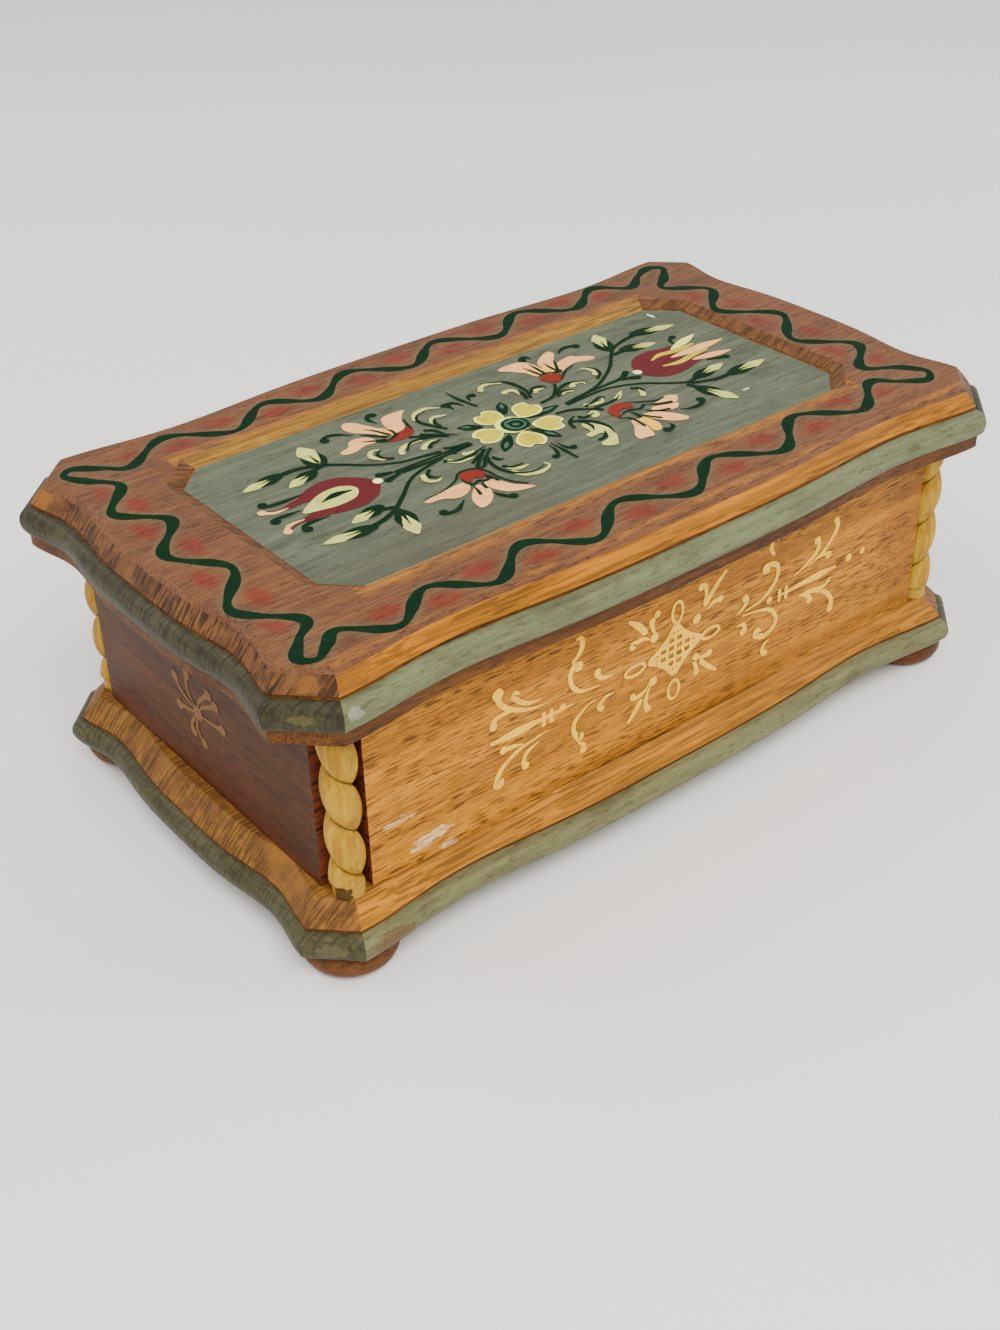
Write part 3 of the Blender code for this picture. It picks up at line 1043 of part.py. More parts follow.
def build_bracket(look):
    """Governor bracket: a post on the bedplate and an arm over the worm, bored for the shaft and the plunger."""
    inner = BRACKET_POST_X - WORM_X
    outer = inner + BRACKET_POST_THICKNESS
    foot = BEDPLATE_TOP + CLEARANCE
    underside = BRACKET_TOP - BRACKET_THICKNESS
    angle = [(-BRACKET_HALF_WIDTH, underside), (inner, underside), (inner, foot), (outer, foot),
             (outer, BRACKET_TOP), (-BRACKET_HALF_WIDTH, BRACKET_TOP)]
    back = PLUNGER_Y + BRACKET_HALF_WIDTH
    width = back - WORM_Y + BRACKET_HALF_WIDTH
    bracket = plate("governor_bracket", look["brass"], [angle], width, (WORM_X, back, 0), (math.pi / 2, 0, 0))
    for name, radius, y in (("shaft", WORM_CORE_RADIUS, WORM_Y), ("plunger", PLUNGER_RADIUS, PLUNGER_Y)):
        hole = cylinder("bracket_" + name + "_cut", look["brass"], radius + CLEARANCE,
                        BRACKET_THICKNESS + 2 * OVERRUN, (WORM_X, y, underside - OVERRUN),
                        segments=SMALL_ROUND_SEGMENTS)
        boolean(bracket, as_cutter(hole))


def build_fan(look):
    """Two-bladed air brake on top of the worm shaft."""
    bore = WORM_CORE_RADIUS + CLEARANCE
    low = (WORM_X - FAN_RADIUS, WORM_Y - FAN_BLADE_THICKNESS / 2, FAN_BOTTOM)
    high = (WORM_X + FAN_RADIUS, WORM_Y + FAN_BLADE_THICKNESS / 2, FAN_BOTTOM + FAN_HEIGHT)
    fan = box("fan", look["plastic"], low, high)
    hub = cylinder("fan_hub_join", look["plastic"], FAN_HUB_RADIUS, FAN_HEIGHT - OVERRUN,
                   (WORM_X, WORM_Y, FAN_BOTTOM + OVERRUN / 2), segments=SMALL_ROUND_SEGMENTS)
    boolean(fan, as_cutter(hub), "UNION")
    hole = cylinder("fan_bore_cut", look["plastic"], bore, FAN_HEIGHT + 2 * OVERRUN,
                    (WORM_X, WORM_Y, FAN_BOTTOM - OVERRUN), segments=SMALL_ROUND_SEGMENTS)
    boolean(fan, as_cutter(hole))


def build_plunger(look):
    """Stop plunger: the lid holds it down, with its finger beside the fan."""
    top = LID_BOTTOM - CLEARANCE
    plunger = cylinder("stop_plunger", look["steel"], PLUNGER_RADIUS, top - PLUNGER_BOTTOM,
                       (WORM_X, PLUNGER_Y, PLUNGER_BOTTOM), segments=SMALL_ROUND_SEGMENTS)
    finger_bottom = FAN_BOTTOM + (FAN_HEIGHT - PLUNGER_FINGER_HEIGHT) / 2
    low = (WORM_X - PLUNGER_FINGER_HALF_WIDTH, PLUNGER_Y - PLUNGER_FINGER_LENGTH, finger_bottom)
    high = (WORM_X + PLUNGER_FINGER_HALF_WIDTH, PLUNGER_Y + PLUNGER_FINGER_HALF_WIDTH,
            finger_bottom + PLUNGER_FINGER_HEIGHT)
    boolean(plunger, as_cutter(box("plunger_finger_join", look["steel"], low, high)), "UNION")


def main():
    """Build every piece."""
    start_scene()
    look = finishes()
    build_feet(look)
    build_base_board(look)
    build_body(look)
    build_lid(look)
    build_hinges(look)
    build_inside(look)
    build_bedplate(look)
    build_movement_screws(look)
    build_comb(look)
    build_barrel(look)
    build_winding(look)
    build_cylinder(look)
    build_bridges(look)
    build_governor(look)
    build_plunger(look)


main()
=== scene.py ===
"""Looks of a painted wooden music box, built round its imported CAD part.

The box lies along X, its painted front faces -Y and Z is up, in metres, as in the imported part.
Every size below is in millimetres and is turned to metres where a mesh is made.
"""
import json
import logging
import math
from dataclasses import dataclass, field
from enum import Enum

import bpy
from mathutils import Matrix, Vector

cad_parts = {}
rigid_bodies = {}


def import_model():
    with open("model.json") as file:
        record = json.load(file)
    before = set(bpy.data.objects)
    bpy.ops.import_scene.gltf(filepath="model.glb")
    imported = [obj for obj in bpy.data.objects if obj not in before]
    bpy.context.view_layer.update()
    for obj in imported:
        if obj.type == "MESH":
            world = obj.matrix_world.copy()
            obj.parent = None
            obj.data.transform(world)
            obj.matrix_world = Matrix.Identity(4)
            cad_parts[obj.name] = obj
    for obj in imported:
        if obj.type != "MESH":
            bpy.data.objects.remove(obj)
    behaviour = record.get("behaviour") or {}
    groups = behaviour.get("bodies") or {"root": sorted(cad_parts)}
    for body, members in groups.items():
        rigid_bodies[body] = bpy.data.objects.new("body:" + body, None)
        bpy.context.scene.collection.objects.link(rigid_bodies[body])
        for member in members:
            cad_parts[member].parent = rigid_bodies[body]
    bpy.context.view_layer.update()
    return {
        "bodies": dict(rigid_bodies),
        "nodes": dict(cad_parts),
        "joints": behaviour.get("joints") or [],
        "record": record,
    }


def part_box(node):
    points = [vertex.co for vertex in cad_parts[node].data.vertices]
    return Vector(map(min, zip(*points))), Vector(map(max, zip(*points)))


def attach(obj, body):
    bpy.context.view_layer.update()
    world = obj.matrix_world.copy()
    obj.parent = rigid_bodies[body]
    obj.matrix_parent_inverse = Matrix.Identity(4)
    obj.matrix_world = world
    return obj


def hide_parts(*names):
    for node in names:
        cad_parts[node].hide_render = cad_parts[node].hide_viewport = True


MM = 0.001
LOG = logging.getLogger("music_box")
Point = tuple[float, float]


class Side(Enum):
    """Which way the grain of a piece runs."""

    ALONG_X = "x"
    ALONG_Y = "y"
    ALONG_Z = "z"


class Edge(Enum):
    """The parts of a moulded board's edge, in the order of its material slots."""

    # The dark lip colour, also laid as painted shade under the bead, in the small steps and along the sunk panel's
    # floor edge.
    LIP = 0
    BEAD = 1
    SLOPE = 2
    SAWN_SLOPE = 3
    BEAD_END = 4
    FIELD = 5
    SUNK_SLOPE = 6
    SUNK_FLOOR = 7
    SUNK_END = 8


def linear(code: str, alpha: float = 1.0) -> tuple[float, float, float, float]:
    """Turn an sRGB hex colour into linear values.

    Args:
        code: six hex digits after a hash.
        alpha: the fourth value.

    Returns:
        Linear red, green, blue and alpha.
    """
    channels = [int(code[i:i + 2], 16) / 255 for i in (1, 3, 5)]
    values = [c / 12.92 if c <= 0.04045 else ((c + 0.055) / 1.055) ** 2.4 for c in channels]
    return (values[0], values[1], values[2], alpha)


def add_node(tree: bpy.types.NodeTree, kind: str, inputs: dict | None = None,
             **settings: object) -> bpy.types.Node:
    """Add one node, set its properties and fill or link its inputs.

    Args:
        tree: the material's or modifier's node tree.
        kind: Blender's name of the node type.
        inputs: socket name or index to a value or to another node's output.
        settings: the node's own properties.

    Returns:
        The new node.
    """
    node = tree.nodes.new(kind)
    for name, value in settings.items():
        setattr(node, name, value)
    for key, value in (inputs or {}).items():
        if isinstance(value, bpy.types.NodeSocket):
            tree.links.new(value, node.inputs[key])
        else:
            node.inputs[key].default_value = value
    return node


class Pigment:
    """One material under construction: patterns in real millimetres, laid over each other."""

    def __init__(self, name: str, roughness: float, metallic: float = 0.0, **shader: object) -> None:
        """Start the material.

        Args:
            name: the finish's real name.
            roughness: the shader's roughness, the same all over.
            metallic: 1 for bare metal.
            shader: further sockets of the shader, set on the shader itself.
        """
        self.material = bpy.data.materials.new(name)
        self.material.use_nodes = True
        self.tree = self.material.node_tree
        self.shader = self.tree.nodes["Principled BSDF"]
        self.shader.inputs["Roughness"].default_value = roughness
        self.shader.inputs["Metallic"].default_value = metallic
        polished = metallic or roughness < 0.3
        self.shader.inputs["Specular IOR Level"].default_value = 0.5 if polished else 0.18
        for key, value in shader.items():
            self.shader.inputs[key.replace("_", " ")].default_value = value
        self.place = add_node(self.tree, "ShaderNodeTexCoord").outputs["Object"]

    def coordinates(self, scale: tuple[float, float, float],
                    origin: tuple[float, float, float] = (0, 0, 0)) -> object:
        """Object coordinates, so that one unit is the given length in mm on each axis."""
        factors = tuple(1000.0 / s for s in scale)
        shift = tuple(-o / s for o, s in zip(origin, scale))
        node = add_node(self.tree, "ShaderNodeMapping",
                        {"Vector": self.place, "Scale": factors, "Location": shift})
        return node.outputs["Vector"]

    def noise(self, scale: tuple[float, float, float], detail: float = 3.0, rough: float = 0.55,
              origin: tuple[float, float, float] = (0, 0, 0)) -> object:
        """Noise from 0 to 1 whose features have the given size in mm on each axis."""
        return add_node(self.tree, "ShaderNodeTexNoise",
                        {"Vector": self.coordinates(scale, origin), "Scale": 1.0, "Detail": detail,
                         "Roughness": rough}).outputs[0]

    def step(self, value: object, low: float, high: float, out_low: float = 0.0,
             out_high: float = 1.0) -> object:
        """Spread a value smoothly from low..high to out_low..out_high."""
        return add_node(self.tree, "ShaderNodeMapRange",
                        {"Value": value, "From Min": low, "From Max": high, "To Min": out_low,
                         "To Max": out_high},
                        interpolation_type="SMOOTHSTEP").outputs[0]

    def sum(self, operation: str, first: object, second: object) -> object:
        """One arithmetic step between two values."""
        return add_node(self.tree, "ShaderNodeMath", {0: first, 1: second}, operation=operation).outputs[0]

    def blend(self, share: object, under: object, over: object, mode: str = "MIX") -> object:
        """Lay one colour over another where share is 1."""
        node = add_node(self.tree, "ShaderNodeMix", data_type="RGBA", blend_type=mode)
        for socket, value in ((node.inputs[0], share), (node.inputs[6], under), (node.inputs[7], over)):
            if isinstance(value, bpy.types.NodeSocket):
                self.tree.links.new(value, socket)
            else:
                socket.default_value = value
        return node.outputs[2]

    def attribute(self, name: str) -> object:
        """A number stored on the piece's own vertices."""
        return add_node(self.tree, "ShaderNodeAttribute", attribute_name=name).outputs["Fac"]

    def axis(self, letter: str) -> object:
        """One object coordinate in mm."""
        split = add_node(self.tree, "ShaderNodeSeparateXYZ", {0: self.coordinates((1.0, 1.0, 1.0))})
        return split.outputs[letter]

    def spot(self, centre: tuple[float, float, float], radius: tuple[float, float, float],
             ragged: float = 0.5,
             grit: float = 1.5) -> object:
        """A worn spot: 1 inside an ellipsoid, with a ragged edge.

        Args:
            centre: middle of the spot in mm.
            radius: half sizes in mm.
            ragged: how far noise moves the edge, as a share of the radius.
            grit: size of the noise in mm.

        Returns:
            The mask's socket.
        """
        away = add_node(self.tree, "ShaderNodeVectorMath", {0: self.coordinates(radius, centre)},
                        operation="LENGTH")
        moved = self.sum("MULTIPLY_ADD", self.noise((grit, grit, grit), 3.0), -2.0 * ragged)
        moved.node.inputs[2].default_value = ragged
        return self.step(self.sum("ADD", away.outputs["Value"], moved), 1.05, 0.75)

    def finish(self, colour: object, bump: object | None = None, height: float = 0.1) -> bpy.types.Material:
        """Join colour and relief to the shader.

        Args:
            colour: colour socket or value.
            bump: height pattern from 0 to 1.
            height: relief in mm.

        Returns:
            The finished material.
        """
        base = self.shader.inputs["Base Color"]
        if isinstance(colour, bpy.types.NodeSocket):
            self.tree.links.new(colour, base)
        else:
            base.default_value = colour
        if bump is not None:
            relief = add_node(self.tree, "ShaderNodeBump",
                              {"Strength": 1.0, "Distance": height * MM, "Height": bump})
            self.tree.links.new(relief.outputs[0], self.shader.inputs["Normal"])
        return self.material


GRAIN = {
    Side.ALONG_X: lambda length, width, depth: (length, depth, width),
    Side.ALONG_Y: lambda length, width, depth: (depth, length, width),
    Side.ALONG_Z: lambda length, width, depth: (width, depth, length),
}


@dataclass(frozen=True)
class OpenGrainWood:
    """Ring-porous wood under stain: long streaks, and stained pores that show as short dark dashes."""

    name: str
    base: str
    light: str
    pore: str
    side: Side = Side.ALONG_X
    roughness: float = 0.5
    pore_share: float = 0.75
    streak_length: float = 70.0
    streak_width: float = 3.4
    pore_length: float = 5.0
    pore_width: float = 0.4
    stains: tuple = ()

    def build(self) -> bpy.types.Material:
        """Make the material.

        Returns:
            The finished material.
        """
        wood = Pigment(self.name, self.roughness)
        size = GRAIN[self.side]
        streak = wood.noise(size(self.streak_length, self.streak_width, self.streak_width), 4.0, 0.6)
        colour = wood.blend(wood.step(streak, 0.35, 0.68), linear(self.base), linear(self.light))
        broad = wood.noise(size(90.0, 16.0, 16.0), 2.0, 0.5, (31, 7, 3))
        colour = wood.blend(wood.step(broad, 0.45, 0.75, 0.0, 0.2), colour, linear(self.pore), "MULTIPLY")
        pores = wood.noise(size(self.pore_length, self.pore_width, self.pore_width), 2.0, 0.5, (5, 11, 2))
        rings = wood.noise(size(90.0, 4.2, 4.2), 1.0, 0.5, (9, 3, 21))
        dashes = wood.sum("MULTIPLY", wood.step(pores, 0.52, 0.61), wood.step(rings, 0.34, 0.6, 0.45, 1.0))
        colour = wood.blend(wood.sum("MULTIPLY", dashes, self.pore_share), colour, linear(self.pore))
        for centre, radius, code, share in self.stains:
            mask = wood.sum("MULTIPLY", wood.spot(centre, radius, 0.9, 1.6),
                            wood.step(pores, 0.62, 0.4, 0.25, 1.0))
            colour = wood.blend(wood.sum("MULTIPLY", mask, share), colour, linear(code))
        relief = wood.sum("SUBTRACT", 1.0, dashes)
        return wood.finish(colour, relief, 0.12)


@dataclass(frozen=True)
class TornEndGrain:
    """End grain cut by a moulding cutter: short dark tears across the edge, stain soaked in deep."""

    name: str
    base: str
    light: str
    tear: str
    spacing: float = 2.1
    roughness: float = 0.62
    depth: float = 0.85
    patches: tuple = ()

    def build(self) -> bpy.types.Material:
        """Make the material.

        Returns:
            The finished material.
        """
        wood = Pigment(self.name, self.roughness)
        mottle = wood.noise((4.0, 5.0, 3.0), 4.0, 0.6)
        colour = wood.blend(wood.step(mottle, 0.35, 0.65), linear(self.base), linear(self.light))
        tears = wood.noise((14.0, self.spacing * 0.42, 6.0), 2.0, 0.5, (4, 2, 9))
        places = wood.noise((22.0, 12.0, 22.0), 2.0, 0.5, (1, 8, 3))
        cuts = wood.sum("MULTIPLY", wood.step(tears, 0.50, 0.62), wood.step(places, 0.32, 0.52, 0.15, 1.0))
        colour = wood.blend(wood.sum("MULTIPLY", cuts, self.depth), colour, linear(self.tear))
        for centre, radius, code, share in self.patches:
            mask = wood.spot(centre, radius, 0.6, 2.0)
            colour = wood.blend(wood.sum("MULTIPLY", mask, share), colour, linear(code))
        return wood.finish(colour, wood.sum("SUBTRACT", 1.0, cuts), 0.35)


@dataclass(frozen=True)
class RubbedPaint:
    """Thin matt paint brushed on bare wood and rubbed by hands, so that grain and worn edges show."""

    name: str
    base: str
    light: str
    grime: str
    side: Side = Side.ALONG_X
    roughness: float = 0.55
    grime_share: float = 0.4
    ticks: float = 0.0
    chips: tuple = ()

    def build(self) -> bpy.types.Material:
        """Make the material.

        Returns:
            The finished material.
        """
        paint = Pigment(self.name, self.roughness)
        size = GRAIN[self.side]
        brushing = paint.noise(size(26.0, 1.6, 1.6), 4.0, 0.6)
        colour = paint.blend(paint.step(brushing, 0.3, 0.75), linear(self.base), linear(self.light))
        dirt = paint.noise(size(14.0, 5.0, 5.0), 4.0, 0.65, (3, 9, 5))
        colour = paint.blend(paint.step(dirt, 0.48, 0.75, 0.0, self.grime_share), colour,
                             linear(self.grime))
        speck = paint.noise(size(3.2, 0.55, 0.55), 3.0, 0.6, (7, 1, 13))
        specks = paint.step(speck, 0.54, 0.66)
        colour = paint.blend(paint.sum("MULTIPLY", specks, 0.5), colour, linear(self.grime))
        if self.ticks > 0.0:
            ticks = paint.step(paint.noise((8.0, 0.75, 5.0), 2.5, 0.55, (2, 2, 2)), 0.5, 0.6)
            colour = paint.blend(paint.sum("MULTIPLY", ticks, self.ticks), colour, linear("#211D12"))
        for centre, radius, code, share in self.chips:
            mask = paint.spot(centre, radius, 0.7, 1.1)
            colour = paint.blend(paint.sum("MULTIPLY", mask, share), colour, linear(code))
        return paint.finish(colour, brushing, 0.08)


@dataclass(frozen=True)
class StainedFrame:
    """Brown-red stain rubbed into the lid's frame, greyer beside the wavy line and redder in its bays."""

    name: str = "brown-red oil stain on oak"
    base: str = "#5F3C26"
    light: str = "#794E2D"
    dark: str = "#3B251A"
    halo: str = "#62573E"
    red: str = "#722417"
    bare: str = "#A4671C"

    def build(self) -> bpy.types.Material:
        """Make the material.

        Returns:
            The finished material.
        """
        stain = Pigment(self.name, 0.5)
        streak = stain.noise((22.0, 0.9, 0.9), 4.0, 0.7)
        colour = stain.blend(stain.step(streak, 0.35, 0.7), linear(self.base), linear(self.light))
        cloud = stain.noise((20.0, 8.0, 8.0), 3.0, 0.6, (4, 4, 4))
        colour = stain.blend(stain.step(cloud, 0.45, 0.75, 0.0, 0.4), colour, linear(self.dark))
        red = stain.sum("MULTIPLY", stain.attribute("bay"),
                        stain.step(stain.noise((2.6, 1.2, 1.2), 3.0), 0.3, 0.5, 0.4, 1.0))
        colour = stain.blend(stain.sum("MULTIPLY", red, 0.8), colour, linear(self.red))
        colour = stain.blend(stain.sum("MULTIPLY", stain.attribute("halo"), 0.4), colour, linear(self.halo))
        bare = stain.sum("MULTIPLY", stain.attribute("rubbed"),
                         stain.step(stain.noise((9.0, 2.2, 2.2), 4.0), 0.35, 0.6))
        colour = stain.blend(bare, colour, linear(self.bare))
        pores = stain.noise((4.0, 0.42, 0.42), 3.0, 0.7, (8, 2, 6))
        dashes = stain.step(pores, 0.56, 0.66)
        colour = stain.blend(stain.sum("MULTIPLY", dashes, 0.5), colour, linear("#26180D"))
        return stain.finish(colour, stain.sum("SUBTRACT", 1.0, dashes), 0.1)


@dataclass(frozen=True)
class TwistWood:
    """Pale turned wood of the rope columns: bare crests, brown stain left in the grooves, raw ends."""

    name: str = "turned limewood, stain in the grooves"

    def build(self) -> bpy.types.Material:
        """Make the material.

        Returns:
            The finished material.
        """
        wood = Pigment(self.name, 0.5)
        streak = wood.noise((1.1, 1.1, 14.0), 4.0, 0.6)
        colour = wood.blend(wood.step(streak, 0.35, 0.7), linear("#9B6D14"), linear("#BA951F"))
        cloud = wood.noise((5.0, 5.0, 5.0), 3.0, 0.6, (6, 1, 2))
        colour = wood.blend(wood.step(cloud, 0.5, 0.75, 0.0, 0.5), colour, linear("#74480A"))
        groove = wood.step(wood.attribute("groove"), 0.35, 0.0)
        colour = wood.blend(wood.sum("MULTIPLY", groove, 0.85), colour, linear("#2E1903"))
        height = wood.sum("ADD", wood.axis("Z"),
                          wood.step(wood.noise((0.9, 0.9, 0.9), 3.0), 0.3, 0.7, -1.4, 1.4))
        raw = wood.step(height, 21.0, 20.2)
        colour = wood.blend(wood.sum("MULTIPLY", raw, 0.75), colour, linear("#AE862C"))
        bare = wood.spot((-85.6, -48.0, 18.2), (2.4, 2.4, 2.6), 0.6, 1.2)
        colour = wood.blend(wood.sum("MULTIPLY", bare, 0.9), colour, linear("#2F1E03"))
        return wood.finish(colour, streak, 0.06)


@dataclass(frozen=True)
class Brushed:
    """Plain metal, plastic, felt or glass-clear plastic with a fine surface of its own."""

    name: str
    base: str
    shade: str
    roughness: float
    metallic: float = 0.0
    grit: float = 0.6
    relief: float = 0.02
    transmission: float = 0.0

    def build(self) -> bpy.types.Material:
        """Make the material.

        Returns:
            The finished material.
        """
        skin = Pigment(self.name, self.roughness, self.metallic, Transmission_Weight=self.transmission)
        pattern = skin.noise((self.grit, self.grit, self.grit * 3.0), 3.0, 0.55)
        colour = skin.blend(skin.step(pattern, 0.35, 0.7), linear(self.shade), linear(self.base))
        return skin.finish(colour, pattern, self.relief)


@dataclass(frozen=True)
class DecorPaint:
    """Opaque decorating paint laid on with a loaded round brush: nearly flat, a little uneven in tone."""

    name: str
    base: str
    shade: str
    shade_share: float = 0.5
    gloss: float = 0.15

    def build(self) -> bpy.types.Material:
        """Make the material.

        Returns:
            The finished material.
        """
        paint = Pigment(self.name, 0.6, Specular_IOR_Level=self.gloss)
        tone = paint.noise((2.6, 2.6, 2.6), 3.0, 0.6)
        colour = paint.blend(paint.step(tone, 0.4, 0.75, 0.0, self.shade_share), linear(self.base),
                             linear(self.shade))
        return paint.finish(colour, tone, 0.03)


class Finishes:
    """Every finish of the box, built once and handed to the sub-assemblies by name."""

    def __init__(self) -> None:
        """Build all materials."""
        oak = OpenGrainWood("honey-stained oak, long grain", "#9F6309", "#C48014", "#3B2104",
                            pore_share=0.8,
                            stains=(
                                ((-72.0, -48.2, 29.5), (4.5, 3.0, 1.0), "#EAC383", 0.5),
                                ((-64.0, -48.2, 22.0), (5.0, 3.0, 1.4), "#F6DDA8", 0.6),
                                ((-66.5, -48.2, 20.5), (3.6, 3.0, 0.9), "#F6DDA8", 0.6),
                                ((-49.0, -48.2, 30.0), (4.0, 3.0, 2.0), "#BA6E26", 0.4),
                                ((-60.0, -48.2, 17.6), (2.2, 3.0, 1.2), "#F6DDA8", 0.5),
                                ((78.0, -48.2, 40.0), (13.0, 3.0, 26.0), "#6C3706", 0.5),
                            ))
        self.table: dict[str, bpy.types.Material] = {
            "front": oak.build(),
            # Oak of the end panels' outer faces: the same oak as the front, made darker as painted shade of the
            # box's shaded ends.
            "side": OpenGrainWood("walnut-stained oak, long grain", "#402004", "#512906", "#261202",
                                  Side.ALONG_Y, 0.55, 0.5, stains=(
                                      ((-86.3, 10.0, 16.0), (4.0, 60.0, 9.0), "#572203", 0.65),
                                      ((-86.3, -12.0, 24.0), (4.0, 20.0, 8.0), "#522103", 0.5),
                                  )).build(),
            "slope": OpenGrainWood("orange-stained oak moulding", "#885404", "#B97200", "#503005",
                                   Side.ALONG_X, 0.48, 0.6, 40.0, 1.8, 12.0, 0.6, stains=(
                                       ((-83.0, -52.0, 70.0), (5.0, 4.0, 4.0), "#664117", 0.5),
                                   )).build(),
            "base_slope": OpenGrainWood("orange-stained oak moulding, handled", "#8D5B0D", "#BF7C15",
                                        "#553910",
                                        Side.ALONG_X, 0.5, 0.65, 40.0, 1.8, 12.0, 0.6).build(),
            "sawn": TornEndGrain("stained end grain, torn by the cutter", "#4D3120", "#6F4825", "#1E1108",
                                 1.7, depth=0.75, patches=(
                ((-89.6, -50.2, 70.0), (2.6, 2.6, 2.0), "#82541D", 0.7),
                ((-93.0, 44.0, 70.0), (4.0, 5.0, 4.0), "#8B5920", 0.8),
            )).build(),
            "base_sawn": TornEndGrain("orange end grain, torn by the cutter", "#6D4720", "#895D22",
                                      "#332010", 1.3, depth=0.45).build(),
            # Dark red-brown oak of the lid's lip, darkened further as painted shade below the bead; the same colour
            # is laid as painted shade on the bead's underside, in the small steps and along the sunk panel's floor
            # edge.
            "lip": OpenGrainWood("dark red-brown oak lip and painted crease shade", "#4F2C0C", "#6B4012", "#2A1505",
                                 Side.ALONG_X, 0.55, 0.7).build(),
            "bead": RubbedPaint("olive-green milk paint on a rounded edge", "#5C6144", "#717854", "#37341F",
                                grime_share=0.5, chips=(
                                    ((-84.6, -56.6, 65.4), (1.7, 1.7, 1.5), "#A9A795", 0.4),
                                    ((-88.0, -53.6, 65.0), (3.0, 3.0, 2.4), "#4E4C2E", 0.6),
                                )).build(),
            # Bead on the end-grain sides and corners: darker partly from paint soaked into end grain, partly as
            # painted shade of the box's shaded ends.
            "bead_end": RubbedPaint("olive-green milk paint over end grain", "#302E1C", "#43412B",
                                    "#1B160C",
                                    Side.ALONG_Y, grime_share=0.6, ticks=0.7, chips=(
                                        ((-84.6, -56.6, 65.4), (1.9, 1.7, 1.5), "#888276", 0.4),
                                        ((-92.0, -51.0, 64.8), (2.6, 2.6, 1.2), "#5D562E", 0.6),
                                        ((96.0, -47.0, 65.0), (2.6, 4.0, 3.0), "#5C4833", 0.8),
                                    )).build(),
            "base_bead": RubbedPaint("olive-green milk paint on the foot moulding", "#605F3F", "#76764F",
                                     "#39321E",
                                     grime_share=0.5, chips=(
                                         ((-79.0, -55.2, 8.4), (6.0, 3.0, 3.0), "#5D3918", 0.55),
                                     )).build(),
            "base_bead_end": RubbedPaint("olive-green milk paint over the foot moulding's end grain",
                                         "#3C3822",
                                         "#524F34", "#251F13", Side.ALONG_Y, grime_share=0.6, ticks=0.5,
                                         chips=(
                                             ((-84.8, -54.8, 9.6), (0.5, 1.2, 3.2), "#B6A992", 0.7),
                                             ((-90.0, -49.6, 9.0), (4.0, 4.0, 1.8), "#615D40", 0.5),
                                         )).build(),
            "floor": RubbedPaint("grey-green milk paint on the sunk panel", "#4C5343", "#606752", "#373628",
                                 grime_share=0.55, chips=(
                                     ((-40.0, -26.0, 71.0), (34.0, 7.0, 2.0), "#494434", 0.35),
                                     ((63.0, 27.0, 71.0), (0.5, 1.6, 1.0), "#E7DBBC", 0.8),
                                     ((50.0, -18.0, 71.0), (1.2, 0.4, 1.0), "#E7DBBC", 0.7),
                                 )).build(),
            "sunk_slope": OpenGrainWood("orange oak chamfer of the sunk panel", "#7F5A26", "#A97A29",
                                        "#48351E",
                                        Side.ALONG_X, 0.5, 0.55, 30.0, 1.4, 9.0, 0.5).build(),
            "sunk_end": TornEndGrain("dark end-grain chamfer of the sunk panel", "#5A3922", "#6E4828",
                                     "#33200F",
                                     2.0, depth=0.5).build(),
            "frame": StainedFrame().build(),
            "notch": OpenGrainWood("raw dark end grain in the corner notch", "#5E2D1C", "#713A22",
                                   "#1D0A05",
                                   Side.ALONG_X, 0.6, 0.9, 30.0, 2.2, 30.0, 1.1).build(),
            "twist": TwistWood().build(),
            "post": OpenGrainWood("dark-stained corner post", "#472116", "#562A19", "#2B1209",
                                  Side.ALONG_Z).build(),
            "foot": OpenGrainWood("red-brown stained turned foot", "#583519", "#6F431F", "#351F0D",
                                  Side.ALONG_X, 0.55, 0.5, 20.0, 1.4, 5.0, 0.5).build(),
            "inner": OpenGrainWood("plain limewood, unfinished", "#BC8340", "#EEA856", "#795423",
                                   Side.ALONG_X, 0.6, 0.3).build(),
            "felt": Brushed("wine-red flocked felt", "#6E1C26", "#561420", 0.95, grit=0.5,
                            relief=0.15).build(),
            "clear": Brushed("clear acrylic sheet", "#F2F5F2", "#EEF2EE", 0.06, grit=40.0, relief=0.0,
                             transmission=0.92).build(),
            "hinge": Brushed("aged brass, stamped", "#B08A48", "#8E6A34", 0.34, 1.0).build(),
            "brass": Brushed("polished movement brass", "#D0A658", "#B98F45", 0.24, 1.0).build(),
            "steel": Brushed("hardened spring steel", "#A9ACAE", "#8B8F92", 0.3, 1.0).build(),
            "nickel": Brushed("nickel-plated steel key", "#C9C7C0", "#B3B1AA", 0.2, 1.0).build(),
            "plastic": Brushed("black acetal gear", "#26272A", "#1E1F22", 0.42, grit=1.2).build(),
            "green": DecorPaint("dark green decorating paint", "#062412", "#0F301C", gloss=0.05).build(),
            "crimson": DecorPaint("crimson decorating paint", "#5B171B", "#441217").build(),
            "sage": DecorPaint("grey-green decorating paint", "#3C5A4A", "#2C4638").build(),
            "leaf": DecorPaint("pale green decorating paint", "#C9CC6C", "#8C9448").build(),
            "cream": DecorPaint("cream decorating paint", "#F0F073", "#B4C259").build(),
            "lemon": DecorPaint("lemon decorating paint", "#CAB726", "#9C8E21").build(),
            "peach": DecorPaint("peach decorating paint", "#F8B672", "#D08A50").build(),
            "rust": DecorPaint("rust-red decorating paint", "#792010", "#5D180E").build(),
            "white": DecorPaint("off-white decorating paint", "#FFFFB9", "#DFC689").build(),
            "straw": DecorPaint("straw-yellow decorating paint", "#F6C334", "#DE9528", 0.7).build(),
            "faded": DecorPaint("straw-yellow paint worn to a trace", "#77522A", "#694826", 0.8).build(),
        }

    def __getitem__(self, name: str) -> bpy.types.Material:
        """The material of that name."""
        return self.table[name]


